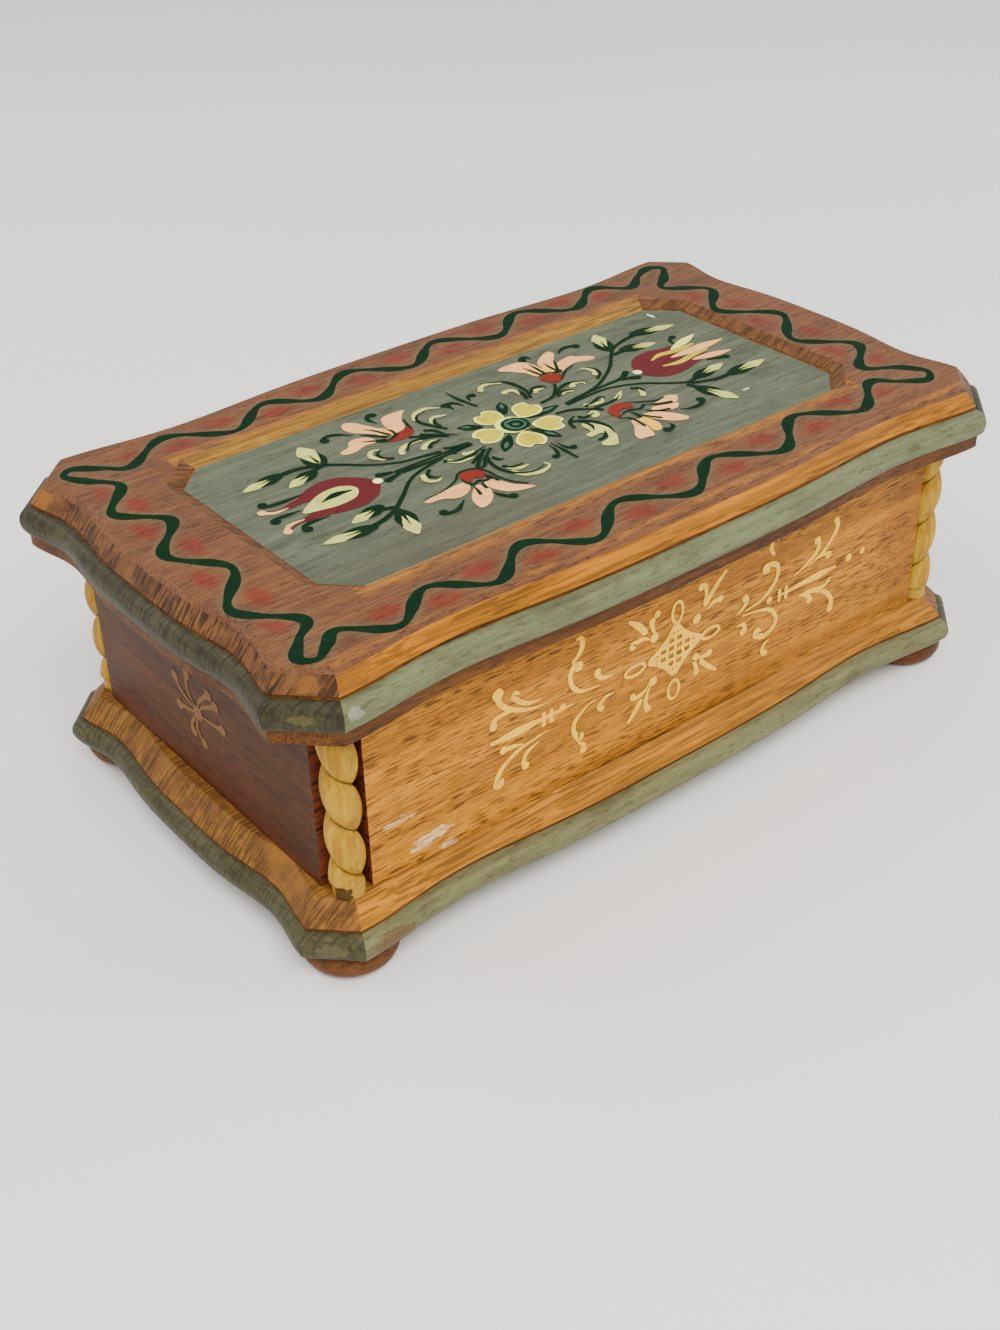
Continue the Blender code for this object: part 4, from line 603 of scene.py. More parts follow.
class Shell:
    """Vertices and faces of one piece, gathered in mm and made a mesh in metres."""

    def __init__(self) -> None:
        """Start empty."""
        self.points: list[tuple[float, float, float]] = []
        self.faces: list[tuple[int, ...]] = []
        self.looks: list[int] = []
        self.numbers: dict[str, list[float]] = {}

    def ring(self, points: list[tuple[float, float, float]]) -> list[int]:
        """Add points and give back their indices."""
        start = len(self.points)
        self.points += points
        return list(range(start, start + len(points)))

    def band(self, lower: list[int], upper: list[int], looks: list[int] | int, closed: bool = True) -> None:
        """Join two rings of equal length with quads.

        Args:
            lower: indices of the first ring, anticlockwise seen from above.
            upper: indices of the next ring up or in.
            looks: material slot for the band, or one for each quad.
            closed: whether the last point joins the first.
        """
        count = len(lower)
        for i in range(count if closed else count - 1):
            j = (i + 1) % count
            self.faces.append((lower[i], lower[j], upper[j], upper[i]))
            self.looks.append(looks if isinstance(looks, int) else looks[i])

    def cap(self, ring: list[int], look: int) -> None:
        """Close a ring with one face."""
        self.faces.append(tuple(ring))
        self.looks.append(look)

    def box(self, low: tuple[float, float, float], high: tuple[float, float, float],
            looks: list[int]) -> None:
        """Add a box with one material slot for each of -X, +X, -Y, +Y, -Z and +Z."""
        x, y, z = zip(low, high)
        p = self.ring([(x[a], y[b], z[c]) for c in (0, 1) for b in (0, 1) for a in (0, 1)])
        sides = ((0, 4, 6, 2), (1, 3, 7, 5), (0, 1, 5, 4), (2, 6, 7, 3), (0, 2, 3, 1), (4, 5, 7, 6))
        for side, look in zip(sides, looks):
            self.faces.append(tuple(p[k] for k in side))
            self.looks.append(look)

    def build(self, name: str, materials: list[bpy.types.Material],
              smooth: float | None = 35.0) -> bpy.types.Object:
        """Make the object.

        Args:
            name: the piece's name.
            materials: its material slots.
            smooth: edges sharper than this many degrees stay sharp; None keeps flat faces.

        Returns:
            The object at the origin, with its place in its mesh.
        """
        mesh = bpy.data.meshes.new(name)
        mesh.from_pydata([(x * MM, y * MM, z * MM) for x, y, z in self.points], [], self.faces)
        for material in materials:
            mesh.materials.append(material)
        mesh.polygons.foreach_set("material_index", self.looks)
        for key, values in self.numbers.items():
            mesh.attributes.new(key, "FLOAT", "POINT").data.foreach_set("value", values)
        if smooth is not None:
            mesh.polygons.foreach_set("use_smooth", [True] * len(mesh.polygons))
            mesh.set_sharp_from_angle(angle=math.radians(smooth))
        mesh.validate()
        mesh.update()
        piece = bpy.data.objects.new(name, mesh)
        bpy.context.scene.collection.objects.link(piece)
        return piece


def dress(piece: bpy.types.Object, body: str, slot: str, *nodes: str) -> None:
    """Let a piece ride on its body, hide the CAD nodes it stands for, and log it."""
    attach(piece, body)
    if nodes:
        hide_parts(*nodes)
    LOG.info("%s rides on %s with %d faces", piece.name, body, len(piece.data.polygons))


def smooth_path(points: list[Point], closed: bool, spacing: float = 0.35) -> list[Point]:
    """A smooth path through points, by centripetal-like cubic pieces.

    Args:
        points: the points it passes through, in mm.
        closed: whether it returns to its start.
        spacing: distance between the points given back, in mm.

    Returns:
        The dense path.
    """
    count = len(points)
    if count < 3 and not closed:
        (x0, y0), (x1, y1) = points
        steps = max(2, round(math.dist(points[0], points[1]) / spacing))
        return [(x0 + (x1 - x0) * i / steps, y0 + (y1 - y0) * i / steps) for i in range(steps + 1)]
    dense: list[Point] = []
    for i in range(count if closed else count - 1):
        p1, p2 = Vector(points[i]), Vector(points[(i + 1) % count])
        p0 = Vector(points[i - 1]) if closed or i > 0 else p1 * 2 - p2
        p3 = Vector(points[(i + 2) % count]) if closed or i + 2 < count else p2 * 2 - p1
        steps = max(2, round((p2 - p1).length / spacing))
        for k in range(steps):
            t = k / steps
            place = 0.5 * ((2 * p1) + (p2 - p0) * t + (2 * p0 - 5 * p1 + 4 * p2 - p3) * t * t
                           + (3 * p1 - 3 * p2 + p3 - p0) * t ** 3)
            dense.append((place.x, place.y))
    if not closed:
        dense.append(tuple(points[-1]))
    return dense


def lay_out(points: list[Point], fit: tuple[float, ...]) -> list[Point]:
    """Stretch and move flat points by six numbers: x = a x + b y + c, y = d x + e y + f."""
    a, b, c, d, e, f = fit
    return [(a * x + b * y + c, d * x + e * y + f) for x, y in points]


class PaintKit:
    """Two Geometry Nodes trees: one sweeps a ribbon along a brush stroke, one fills a painted shape."""

    FILM = 0.03

    def __init__(self) -> None:
        """Build both trees once."""
        self.stroke_tree = self._stroke()
        self.shape_tree = self._shape()

    @staticmethod
    def new_tree(name: str, sizes: dict[str, float]) -> bpy.types.NodeTree:
        """A new tree with geometry in and out, a material and named sizes in metres."""
        tree = bpy.data.node_groups.new(name, "GeometryNodeTree")
        tree.interface.new_socket("Geometry", in_out="INPUT", socket_type="NodeSocketGeometry")
        tree.interface.new_socket("Material", in_out="INPUT", socket_type="NodeSocketMaterial")
        for key, value in sizes.items():
            socket = tree.interface.new_socket(key, in_out="INPUT", socket_type="NodeSocketFloat")
            socket.default_value = value
        tree.interface.new_socket("Geometry", in_out="OUTPUT", socket_type="NodeSocketGeometry")
        return tree

    def _stroke(self) -> bpy.types.NodeTree:
        """The tree of the brush strokes: a path with a half width at each point becomes a thin ribbon."""
        tree = self.new_tree("brush strokes", {"Film": self.FILM * MM})
        start = add_node(tree, "NodeGroupInput").outputs
        curve = add_node(tree, "GeometryNodeMeshToCurve", {"Mesh": start["Geometry"]})
        width = add_node(tree, "GeometryNodeInputNamedAttribute", {"Name": "half_width"}, data_type="FLOAT")
        radius = add_node(tree, "GeometryNodeSetCurveRadius",
                          {0: curve.outputs[0], "Radius": width.outputs[0]})
        upright = add_node(tree, "GeometryNodeSetCurveNormal", {0: radius.outputs[0]}, mode="Z_UP")
        bar = add_node(tree, "GeometryNodeCurvePrimitiveLine",
                       {"Start": (-1.0, 0.0, 0.0), "End": (1.0, 0.0, 0.0)})
        ribbon = add_node(tree, "GeometryNodeCurveToMesh",
                          {"Curve": upright.outputs[0], "Profile Curve": bar.outputs[0]})
        sockets = [s.name for s in ribbon.inputs]
        if "Scale" in sockets:
            tree.links.new(width.outputs[0], ribbon.inputs["Scale"])
        lift = add_node(tree, "ShaderNodeCombineXYZ", {"Z": start["Film"]})
        raised = add_node(tree, "GeometryNodeSetPosition",
                          {0: ribbon.outputs[0], "Offset": lift.outputs[0]})
        self.close_tree(tree, raised.outputs[0], start["Material"])
        return tree

    def _shape(self) -> bpy.types.NodeTree:
        """The tree of the filled shapes: a closed outline becomes a thin film."""
        tree = self.new_tree("painted shapes", {"Film": self.FILM * MM})
        start = add_node(tree, "NodeGroupInput").outputs
        curve = add_node(tree, "GeometryNodeMeshToCurve", {"Mesh": start["Geometry"]})
        film = add_node(tree, "GeometryNodeFillCurve", {0: curve.outputs[0]})
        lift = add_node(tree, "ShaderNodeCombineXYZ", {"Z": start["Film"]})
        raised = add_node(tree, "GeometryNodeSetPosition", {0: film.outputs[0], "Offset": lift.outputs[0]})
        self.close_tree(tree, raised.outputs[0], start["Material"])
        return tree

    @staticmethod
    def close_tree(tree: bpy.types.NodeTree, geometry: object, material: object) -> None:
        """Close a tree with Realize Instances and Set Material."""
        real = add_node(tree, "GeometryNodeRealizeInstances", {0: geometry})
        dressed = add_node(tree, "GeometryNodeSetMaterial",
                           {"Geometry": real.outputs[0], "Material": material})
        add_node(tree, "NodeGroupOutput", {0: dressed.outputs[0]})

    @staticmethod
    def evaluate(source: bpy.types.Mesh, tree: bpy.types.NodeTree,
                 values: dict[str, object]) -> bpy.types.Mesh:
        """Run a tree on a mesh once and give back the plain result.

        Args:
            source: the mesh that the tree reads.
            tree: the Geometry Nodes tree.
            values: input name to value.

        Returns:
            The evaluated mesh, with no modifier left.
        """
        holder = bpy.data.objects.new("holder", source)
        bpy.context.scene.collection.objects.link(holder)
        modifier = holder.modifiers.new("maker", "NODES")
        modifier.node_group = tree
        for item in tree.interface.items_tree:
            if item.item_type == "SOCKET" and item.in_out == "INPUT" and item.name in values:
                modifier[item.identifier] = values[item.name]
        graph = bpy.context.evaluated_depsgraph_get()
        result = bpy.data.meshes.new_from_object(holder.evaluated_get(graph), depsgraph=graph)
        holder.modifiers.remove(modifier)
        bpy.data.objects.remove(holder)
        bpy.data.meshes.remove(source)
        return result


@dataclass
class Stroke:
    """One brush stroke: a path, the half widths along it, and round loads of paint at its ends, in mm."""

    path: list[Point]
    widths: tuple[float, ...] = (0.4, 0.12)
    head: float = 0.0
    tail: float = 0.0
    closed: bool = False

    def dense(self) -> tuple[list[Point], list[float]]:
        """The fine path and its half widths.

        Returns:
            Points in mm and half widths in mm.
        """
        points = smooth_path(self.path, self.closed, 0.3)
        lengths = [0.0]
        for a, b in zip(points, points[1:]):
            lengths.append(lengths[-1] + math.dist(a, b))
        total = max(lengths[-1], 1e-6)
        widths = []
        for s in lengths:
            place = s / total * (len(self.widths) - 1)
            i = min(int(place), len(self.widths) - 2) if len(self.widths) > 1 else 0
            if len(self.widths) > 1:
                share = place - i
                share = share * share * (3 - 2 * share)
                half = self.widths[i] * (1 - share) + self.widths[i + 1] * share
            else:
                half = self.widths[0]
            for end, gone in ((self.head, s), (self.tail, total - s)):
                if end > 0.0 and gone < 2 * end:
                    half = max(half if gone > end else 0.0,
                               math.sqrt(max(end ** 2 - (end - gone) ** 2, 0.0)))
            if not self.closed:
                edge = min(s, total - s)
                if edge < half:
                    half = max(math.sqrt(max(half ** 2 - (half - edge) ** 2, 0.0)), 0.02)
            widths.append(half)
        return points, widths


class Artwork:
    """Painted ornament gathered by colour on one flat face, then laid on that face as thin films."""

    def __init__(self, name: str, kit: PaintKit, place: Matrix,
                 fit: tuple[float, ...] = (1, 0, 0, 0, 1, 0)) -> None:
        """Start empty.

        Args:
            name: start of the pieces' names.
            kit: the Geometry Nodes trees.
            place: turns flat millimetres into the face's millimetres.
            fit: six numbers that lay the drawing out on the face: x = a x + b y + c, y = d x + e y + f.
        """
        self.name = name
        self.kit = kit
        self.place = place
        self.fit = fit
        self.strokes: dict[tuple[str, int], list[Stroke]] = {}
        self.shapes: dict[tuple[str, int], list[list[Point]]] = {}

    def stroke(self, colour: str, layer: int, path: list[Point], widths: tuple[float, ...] = (0.4, 0.12),
               head: float = 0.0, tail: float = 0.0, closed: bool = False) -> None:
        """Add one stroke of a colour on a layer."""
        self.strokes.setdefault((colour, layer), []).append(Stroke(path, widths, head, tail, closed))

    def shape(self, colour: str, layer: int, outline: list[Point]) -> None:
        """Add one filled shape, its outline smoothed through the points given."""
        self.shapes.setdefault((colour, layer), []).append(smooth_path(outline, True, 0.4))

    def dot(self, colour: str, layer: int, centre: Point, radius: float) -> None:
        """Add one round dot."""
        ring = [(centre[0] + radius * math.cos(i * math.pi / 6),
                 centre[1] + radius * math.sin(i * math.pi / 6))
                for i in range(12)]
        self.shapes.setdefault((colour, layer), []).append(ring)

    def petal(self, colour: str, layer: int, base: Point, tip: Point, half_width: float,
              fullness: float = 0.55) -> None:
        """Add a pointed petal or leaf from base to tip, widest at the given share of its length."""
        start, end = Vector(base), Vector(tip)
        along = end - start
        across = Vector((-along.y, along.x)).normalized() * half_width
        middle = start + along * fullness
        near = start + along * fullness * 0.4
        far = start + along * (fullness + (1 - fullness) * 0.55)
        outline = [start, near - across * 0.72, middle - across, far - across * 0.62, end,
                   far + across * 0.62, middle + across, near + across * 0.72]
        self.shape(colour, layer, [(p.x, p.y) for p in outline])

    def _mesh(self, path: list[Point], halves: list[float], closed: bool) -> bpy.types.Mesh:
        """One chain of edges in metres, with its half widths."""
        edges = [(i, i + 1) for i in range(len(path) - 1)]
        if closed:
            edges.append((len(path) - 1, 0))
        mesh = bpy.data.meshes.new("path")
        mesh.from_pydata([(x * MM, y * MM, 0.0) for x, y in lay_out(path, self.fit)], edges, [])
        mesh.attributes.new("half_width", "FLOAT", "POINT").data.foreach_set("value",
                                                                             [h * MM for h in halves])
        return mesh

    def build(self, looks: Finishes, body: str, slot: str) -> None:
        """Make one piece for each colour.

        Args:
            looks: the finishes.
            body: the body that the paint rides on.
            slot: the record's material slot of the painted wood; not used.
        """
        colours = sorted({key[0] for key in [*self.strokes, *self.shapes]})
        for colour in colours:
            shell = Shell()
            for (tint, layer), strokes in self.strokes.items():
                for k, stroke in enumerate(strokes if tint == colour else []):
                    source = self._mesh(*stroke.dense(), stroke.closed)
                    self._add(shell, source, self.kit.stroke_tree, self._height(layer, k), looks[colour])
            for (tint, layer), outlines in self.shapes.items():
                for k, outline in enumerate(outlines if tint == colour else []):
                    source = self._mesh(outline, [0.0] * len(outline), True)
                    self._add(shell, source, self.kit.shape_tree, self._height(layer, k + 12),
                              looks[colour])
            piece = shell.build(f"{self.name}_{colour}", [looks[colour]], None)
            dress(piece, body, slot)

    @staticmethod
    def _height(layer: int, order: int) -> float:
        """Height of a stroke's film in mm, a little different for each, so that crossing strokes never coincide."""
        return PaintKit.FILM + 0.06 * layer + 0.0022 * (order % 24)

    def _add(self, shell: Shell, source: bpy.types.Mesh, tree: bpy.types.NodeTree, film: float,
             look: bpy.types.Material) -> None:
        """Evaluate one tree and add its faces to the shell, facing away from the wood."""
        made = self.kit.evaluate(source, tree, {"Film": film * MM, "Material": look})
        start = len(shell.points)
        shell.points += [tuple(self.place @ (v.co / MM)) for v in made.vertices]
        for polygon in made.polygons:
            loop = [start + k for k in polygon.vertices]
            if polygon.normal.z < 0:
                loop.reverse()
            shell.faces.append(tuple(loop))
            shell.looks.append(0)
        bpy.data.meshes.remove(made)


def octagon(half_length: float, half_width: float, cant: float) -> list[Vector]:
    """The eight corners of a canted rectangle, anticlockwise from the right side's front end."""
    a, b, c = half_length, half_width, cant
    return [Vector(p) for p in ((a, -b + c), (a, b - c), (a - c, b), (-a + c, b),
                                (-a, b - c), (-a, -b + c), (-a + c, -b), (a - c, -b))]


def crosses_grain(side: int) -> bool:
    """Whether a side of the eight shows end grain: the two short sides and the four canted corners do."""
    return side % 4 == 0 or side % 2 == 1


@dataclass
class MouldedBoard:
    """A board with serpentine sides, canted corners and a beaded edge."""

    half_length: float
    half_width: float
    cant: float
    dip: float = 2.2
    dip_power: float = 1.8
    long_steps: int = 216
    short_steps: int = 128
    cant_steps: int = 10

    def corners(self, reach: float) -> list[Vector]:
        """The eight corners of the edge line moved outwards by reach."""
        a, b, c = self.half_length + reach, self.half_width + reach, self.cant + reach * (2 - math.sqrt(2))
        return octagon(a, b, c)

    def marks(self) -> list[tuple[int, float]]:
        """The points round the edge as (side, share of that side), anticlockwise from the right side."""
        places = []
        for side in range(8):
            if side % 2 == 1:
                steps = self.cant_steps
            else:
                steps = self.short_steps if side % 4 == 0 else self.long_steps
            places += [(side, i / steps) for i in range(steps)]
        return places

    def outline(self, reach: float) -> list[Vector]:
        """The serpentine edge line moved outwards by reach."""
        corners = self.corners(reach)
        points = []
        for side, share in self.marks():
            start, end = corners[side], corners[(side + 1) % 8]
            along = (end - start).normalized()
            inward = Vector((-along.y, along.x))
            depth = 0.0
            if side % 2 == 0:
                depth = self.dip * math.sin(math.pi * abs(2 * share - 1) ** self.dip_power) ** 2
            points.append(start.lerp(end, share) + inward * depth)
        return points

    @staticmethod
    def bead(bottom: float, height: float, nose: float, lower: float, steps: int = 12) -> list[Point]:
        """The round nose as (reach, height), from lower reach out and back to the edge line."""
        points = []
        for i in range(steps + 1):
            angle = math.pi * (i / steps - 0.5)
            base = lower if i <= steps / 2 else 0.0
            points.append((base + (nose - base) * math.cos(angle),
                           bottom + height / 2 * (1 + math.sin(angle))))
        return points


@dataclass
class Lid:
    """The lid board with its stained frame, wavy line, sunk panel and painted flowers."""

    board: MouldedBoard = field(default_factory=lambda: MouldedBoard(95.0, 54.25, 9.0))
    bottom: float = 58.3
    lip_height: float = 3.2
    lip_reach: float = 1.2
    bead_height: float = 6.1
    bead_nose: float = 2.7
    step: float = 0.7
    slope_width: float = 3.5
    top: float = 72.8
    field_top: float = 72.66
    recess_length: float = 70.4
    recess_width: float = 30.9
    recess_cant: float = 6.5
    recess_slope: float = 3.2
    floor: float = 71.0
    field_rows: int = 28
    line_fit: tuple[float, ...] = (1.0185, 0.015, 0.52, 0.021, 1.0264, 2.19)
    flower_fit: tuple[float, ...] = (1.0182, 0.0148, 0.21, 0.021, 1.0263, 1.89)
    line: tuple[Point, ...] = (
        (-79.0, -34.6), (-87.4, -23.9), (-79.5, -11.7), (-87.0, 0.4), (-79.3, 11.5), (-86.9, 21.1),
        (-80.2, 30.4),
        (-84.6, 36.8), (-87.2, 41.4), (-84.6, 43.4), (-79.5, 39.6), (-74.3, 36.4), (-63.0, 43.1),
        (-49.7, 35.6),
        (-38.3, 42.7), (-27.2, 36.4), (-15.4, 43.6), (-2.0, 36.0), (9.8, 43.3), (23.4, 35.7), (35.0, 43.4),
        (47.4, 35.7), (58.5, 42.2), (66.3, 36.3), (72.5, 40.0), (78.2, 42.4), (81.2, 39.8), (77.0, 35.0),
        (72.6, 30.4), (80.7, 22.0), (72.7, 11.7), (82.5, 0.0), (73.7, -12.0), (82.8, -23.5), (74.0, -32.4),
        (80.0, -38.0), (83.4, -43.4), (80.0, -46.4), (74.5, -42.8), (69.1, -38.9), (57.8, -46.7),
        (44.3, -38.8),
        (31.8, -48.0), (18.0, -40.3), (5.3, -48.3), (-8.7, -40.8), (-21.0, -48.9), (-33.3, -40.8),
        (-44.8, -48.2),
        (-56.2, -40.9), (-67.0, -47.9), (-76.1, -41.7), (-80.2, -44.2), (-83.8, -46.8), (-86.6, -44.4),
        (-83.0, -39.6))

    def build(self, looks: Finishes, kit: PaintKit) -> None:
        """Build the board and everything painted on it."""
        self._board(looks)
        self._line(looks, kit)
        flowers = Artwork("lid_flowers", kit, Matrix.Translation((0.0, 0.0, self.floor)), self.flower_fit)
        paint_flowers(flowers)
        flowers.build(looks, "lid", "lid_wood")

    def _line_path(self) -> list[Point]:
        """The wavy line, smooth and in place."""
        return lay_out(smooth_path(list(self.line), True, 0.6), self.line_fit)

    def _octagon(self, grow: float, places: list[float]) -> list[Vector]:
        """Points of the recess's outline, grown, at the same shares of each side as the board's edge."""
        a, b = self.recess_length + grow, self.recess_width + grow
        c = self.recess_cant + grow * (2 - math.sqrt(2))
        corners = octagon(a, b, c)
        return [corners[int(p)].lerp(corners[(int(p) + 1) % 8], p - int(p)) for p in places]

    def _board(self, looks: Finishes) -> None:
        """The board itself: edge, frame and sunk panel."""
        shell = Shell()
        ends = [crosses_grain(side) for side, _ in self.board.marks()]
        places = [side + share for side, share in self.board.marks()]
        bead_bottom = self.bottom + self.lip_height
        bead_top = bead_bottom + self.bead_height
        profile = [(self.lip_reach - 0.4, self.bottom, Edge.LIP),
                   (self.lip_reach, self.bottom + 0.4, Edge.LIP)]
        profile += [(r, z, Edge.BEAD) for r, z in
                    self.board.bead(bead_bottom, self.bead_height, self.bead_nose, self.lip_reach)]
        # The bead's lower rows take the dark lip colour: painted shade on its underside.
        for k in range(2, 6):
            profile[k] = (profile[k][0], profile[k][1], Edge.LIP)
        # The small step between bead and slope is in the dark lip colour: painted shade in that crease.
        profile.append((-0.1, bead_top + self.step * 0.5, Edge.LIP))
        for i in range(7):
            share = i / 6
            belly = 0.45 * math.sin(math.pi * share)
            rise = bead_top + self.step + (self.field_top - bead_top - self.step) * share
            # The first row, the top of the step, stays in the dark lip colour as painted shade in the crease.
            kind = Edge.LIP if i == 0 else (Edge.SLOPE if i <= 4 else Edge.FIELD)
            profile.append((-self.slope_width * share, rise + belly * 0.4, kind))
        rings = []
        for reach, height, _ in profile:
            rings.append(shell.ring([(p.x, p.y, height) for p in self.board.outline(reach)]))
        for k in range(len(rings) - 1):
            kind = profile[k + 1][2]
            if kind is Edge.SLOPE:
                slots = [Edge.SAWN_SLOPE.value if e else Edge.SLOPE.value for e in ends]
            elif kind is Edge.BEAD:
                slots = [Edge.BEAD_END.value if e else Edge.BEAD.value for e in ends]
            else:
                slots = kind.value
            shell.band(rings[k], rings[k + 1], slots)
        outer = self.board.outline(-self.slope_width)
        inner = self._octagon(self.recess_slope, places)
        previous = rings[-1]
        for row in range(1, self.field_rows + 1):
            share = row / self.field_rows
            points = [o.lerp(i, share) for o, i in zip(outer, inner)]
            ring = shell.ring([(p.x, p.y, self.field_top) for p in points])
            shell.band(previous, ring, Edge.FIELD.value)
            previous = ring
        slots = [Edge.SUNK_END.value if crosses_grain(int(p)) else Edge.SUNK_SLOPE.value for p in places]
        for share in (0.12, 0.5, 0.8, 1.0):
            grow = self.recess_slope * (1 - share)
            height = self.field_top - (self.field_top - self.floor) * min(1.0, share * 1.06)
            ring = shell.ring([(p.x, p.y, height) for p in self._octagon(grow, places)])
            # On the end-grain sides the last band down to the floor takes the dark lip colour: painted shade where
            # the recess wall meets the floor.
            dark = [Edge.LIP.value if slot == Edge.SUNK_END.value else slot for slot in slots]
            shell.band(previous, ring, dark if share == 1.0 else slots)
            previous = ring
        shell.cap(previous, Edge.SUNK_FLOOR.value)
        shell.cap(list(reversed(rings[0])), Edge.LIP.value)
        self._stain(shell)
        names = ("lip", "bead", "slope", "sawn", "bead_end", "frame", "sunk_slope", "floor", "sunk_end")
        piece = shell.build("lid_board_moulded", [looks[n] for n in names], 30.0)
        dress(piece, "lid", "lid_wood", "lid_board")

    def _stain(self, shell: Shell) -> None:
        """Store how near each point of the frame is to the wavy line, its red bays and a rubbed edge."""
        path = self._line_path()
        cells: dict[tuple[int, int], list[Point]] = {}
        for x, y in path:
            cells.setdefault((int(x // 6), int(y // 6)), []).append((x, y))
        bays = self._bays()
        halo, bay, rubbed = [], [], []
        for x, y, z in shell.points:
            if z < self.field_top - 0.01 or z > self.field_top + 0.3:
                halo.append(0.0)
                bay.append(0.0)
                rubbed.append(0.0)
                continue
            cx, cy = int(x // 6), int(y // 6)
            near = 9.0
            for i in (-1, 0, 1):
                for j in (-1, 0, 1):
                    for px, py in cells.get((cx + i, cy + j), ()):
                        near = min(near, math.hypot(px - x, py - y))
            halo.append(min(1.0, max(0.0, (2.5 - near) / 0.9)))
            red = 0.0
            for bx, by, along in bays:
                du, dv = (x - bx, y - by) if along else (y - by, x - bx)
                red = max(red, 1.2 - math.hypot(du / 3.9, dv / 2.2))
            bay.append(min(1.0, max(0.0, red * 1.7)))
            worn = 0.0
            if abs(x) < 68:
                worn = max(0.0, 1 - (abs(abs(y) - self.recess_width - self.recess_slope)) / 3.4)
            front = max(0.0, 1 - (abs(y + 50.0) / 1.6)) * 0.7
            rubbed.append(min(1.0, max(worn, front) * 1.2))
        shell.numbers = {"halo": halo, "bay": bay, "rubbed": rubbed}

    def _bays(self) -> list[tuple[float, float, bool]]:
        """Middle of each bay between two waves, and whether it lies along X."""
        places = []
        points = lay_out(list(self.line), self.line_fit)
        for before, point, after in zip([points[-1], *points[:-1]], points, [*points[1:], points[0]]):
            middle = ((before[0] + after[0]) / 2, (before[1] + after[1]) / 2)
            along = abs(after[0] - before[0]) > abs(after[1] - before[1])
            if math.dist(before, after) < 15.0:
                continue
            push = 0.78
            x = point[0] + (middle[0] - point[0]) * push
            y = point[1] + (middle[1] - point[1]) * push
            places.append((x, y, along))
        return places

    def _line(self, looks: Finishes, kit: PaintKit) -> None:
        """The wavy line: broad in the bends, thin where it crosses over."""
        art = Artwork("lid_wavy_line", kit, Matrix.Translation((0.0, 0.0, self.field_top)), self.line_fit)
        widths = []
        for _ in self.line:
            widths += [1.35, 0.78]
        widths.append(1.35)
        art.stroke("green", 0, list(self.line), tuple(widths), closed=True)
        art.build(looks, "lid", "lid_wood")


def paint_flowers(art: Artwork) -> None:
    """Paint the sunk panel: a rosette in the middle, tulips and lilies on scrolling stems to both sides."""
    for side in (tulip_left, tulip_right, lilies, scrolls, rosette):
        side(art)


def bud(art: Artwork, base: Point, tip: Point, half: float = 1.5) -> None:
    """A pale bud with two dark sepals that cup its lower half."""
    art.petal("leaf", 1, base, tip, half, 0.6)
    start, end = Vector(base), Vector(tip)
    along = end - start
    across = Vector((-along.y, along.x)).normalized()
    for sign in (-1, 1):
        side = [start - along * 0.25, start + along * 0.12 + across * sign * half * 0.8,
                start + along * 0.55 + across * sign * half * 0.95]
        art.stroke("green", 2, [(p.x, p.y) for p in side], (0.7, 0.75, 0.08), head=0.6)
    vein = [start, start + along * 0.5]
    art.stroke("green", 2, [(p.x, p.y) for p in vein], (0.4, 0.1))


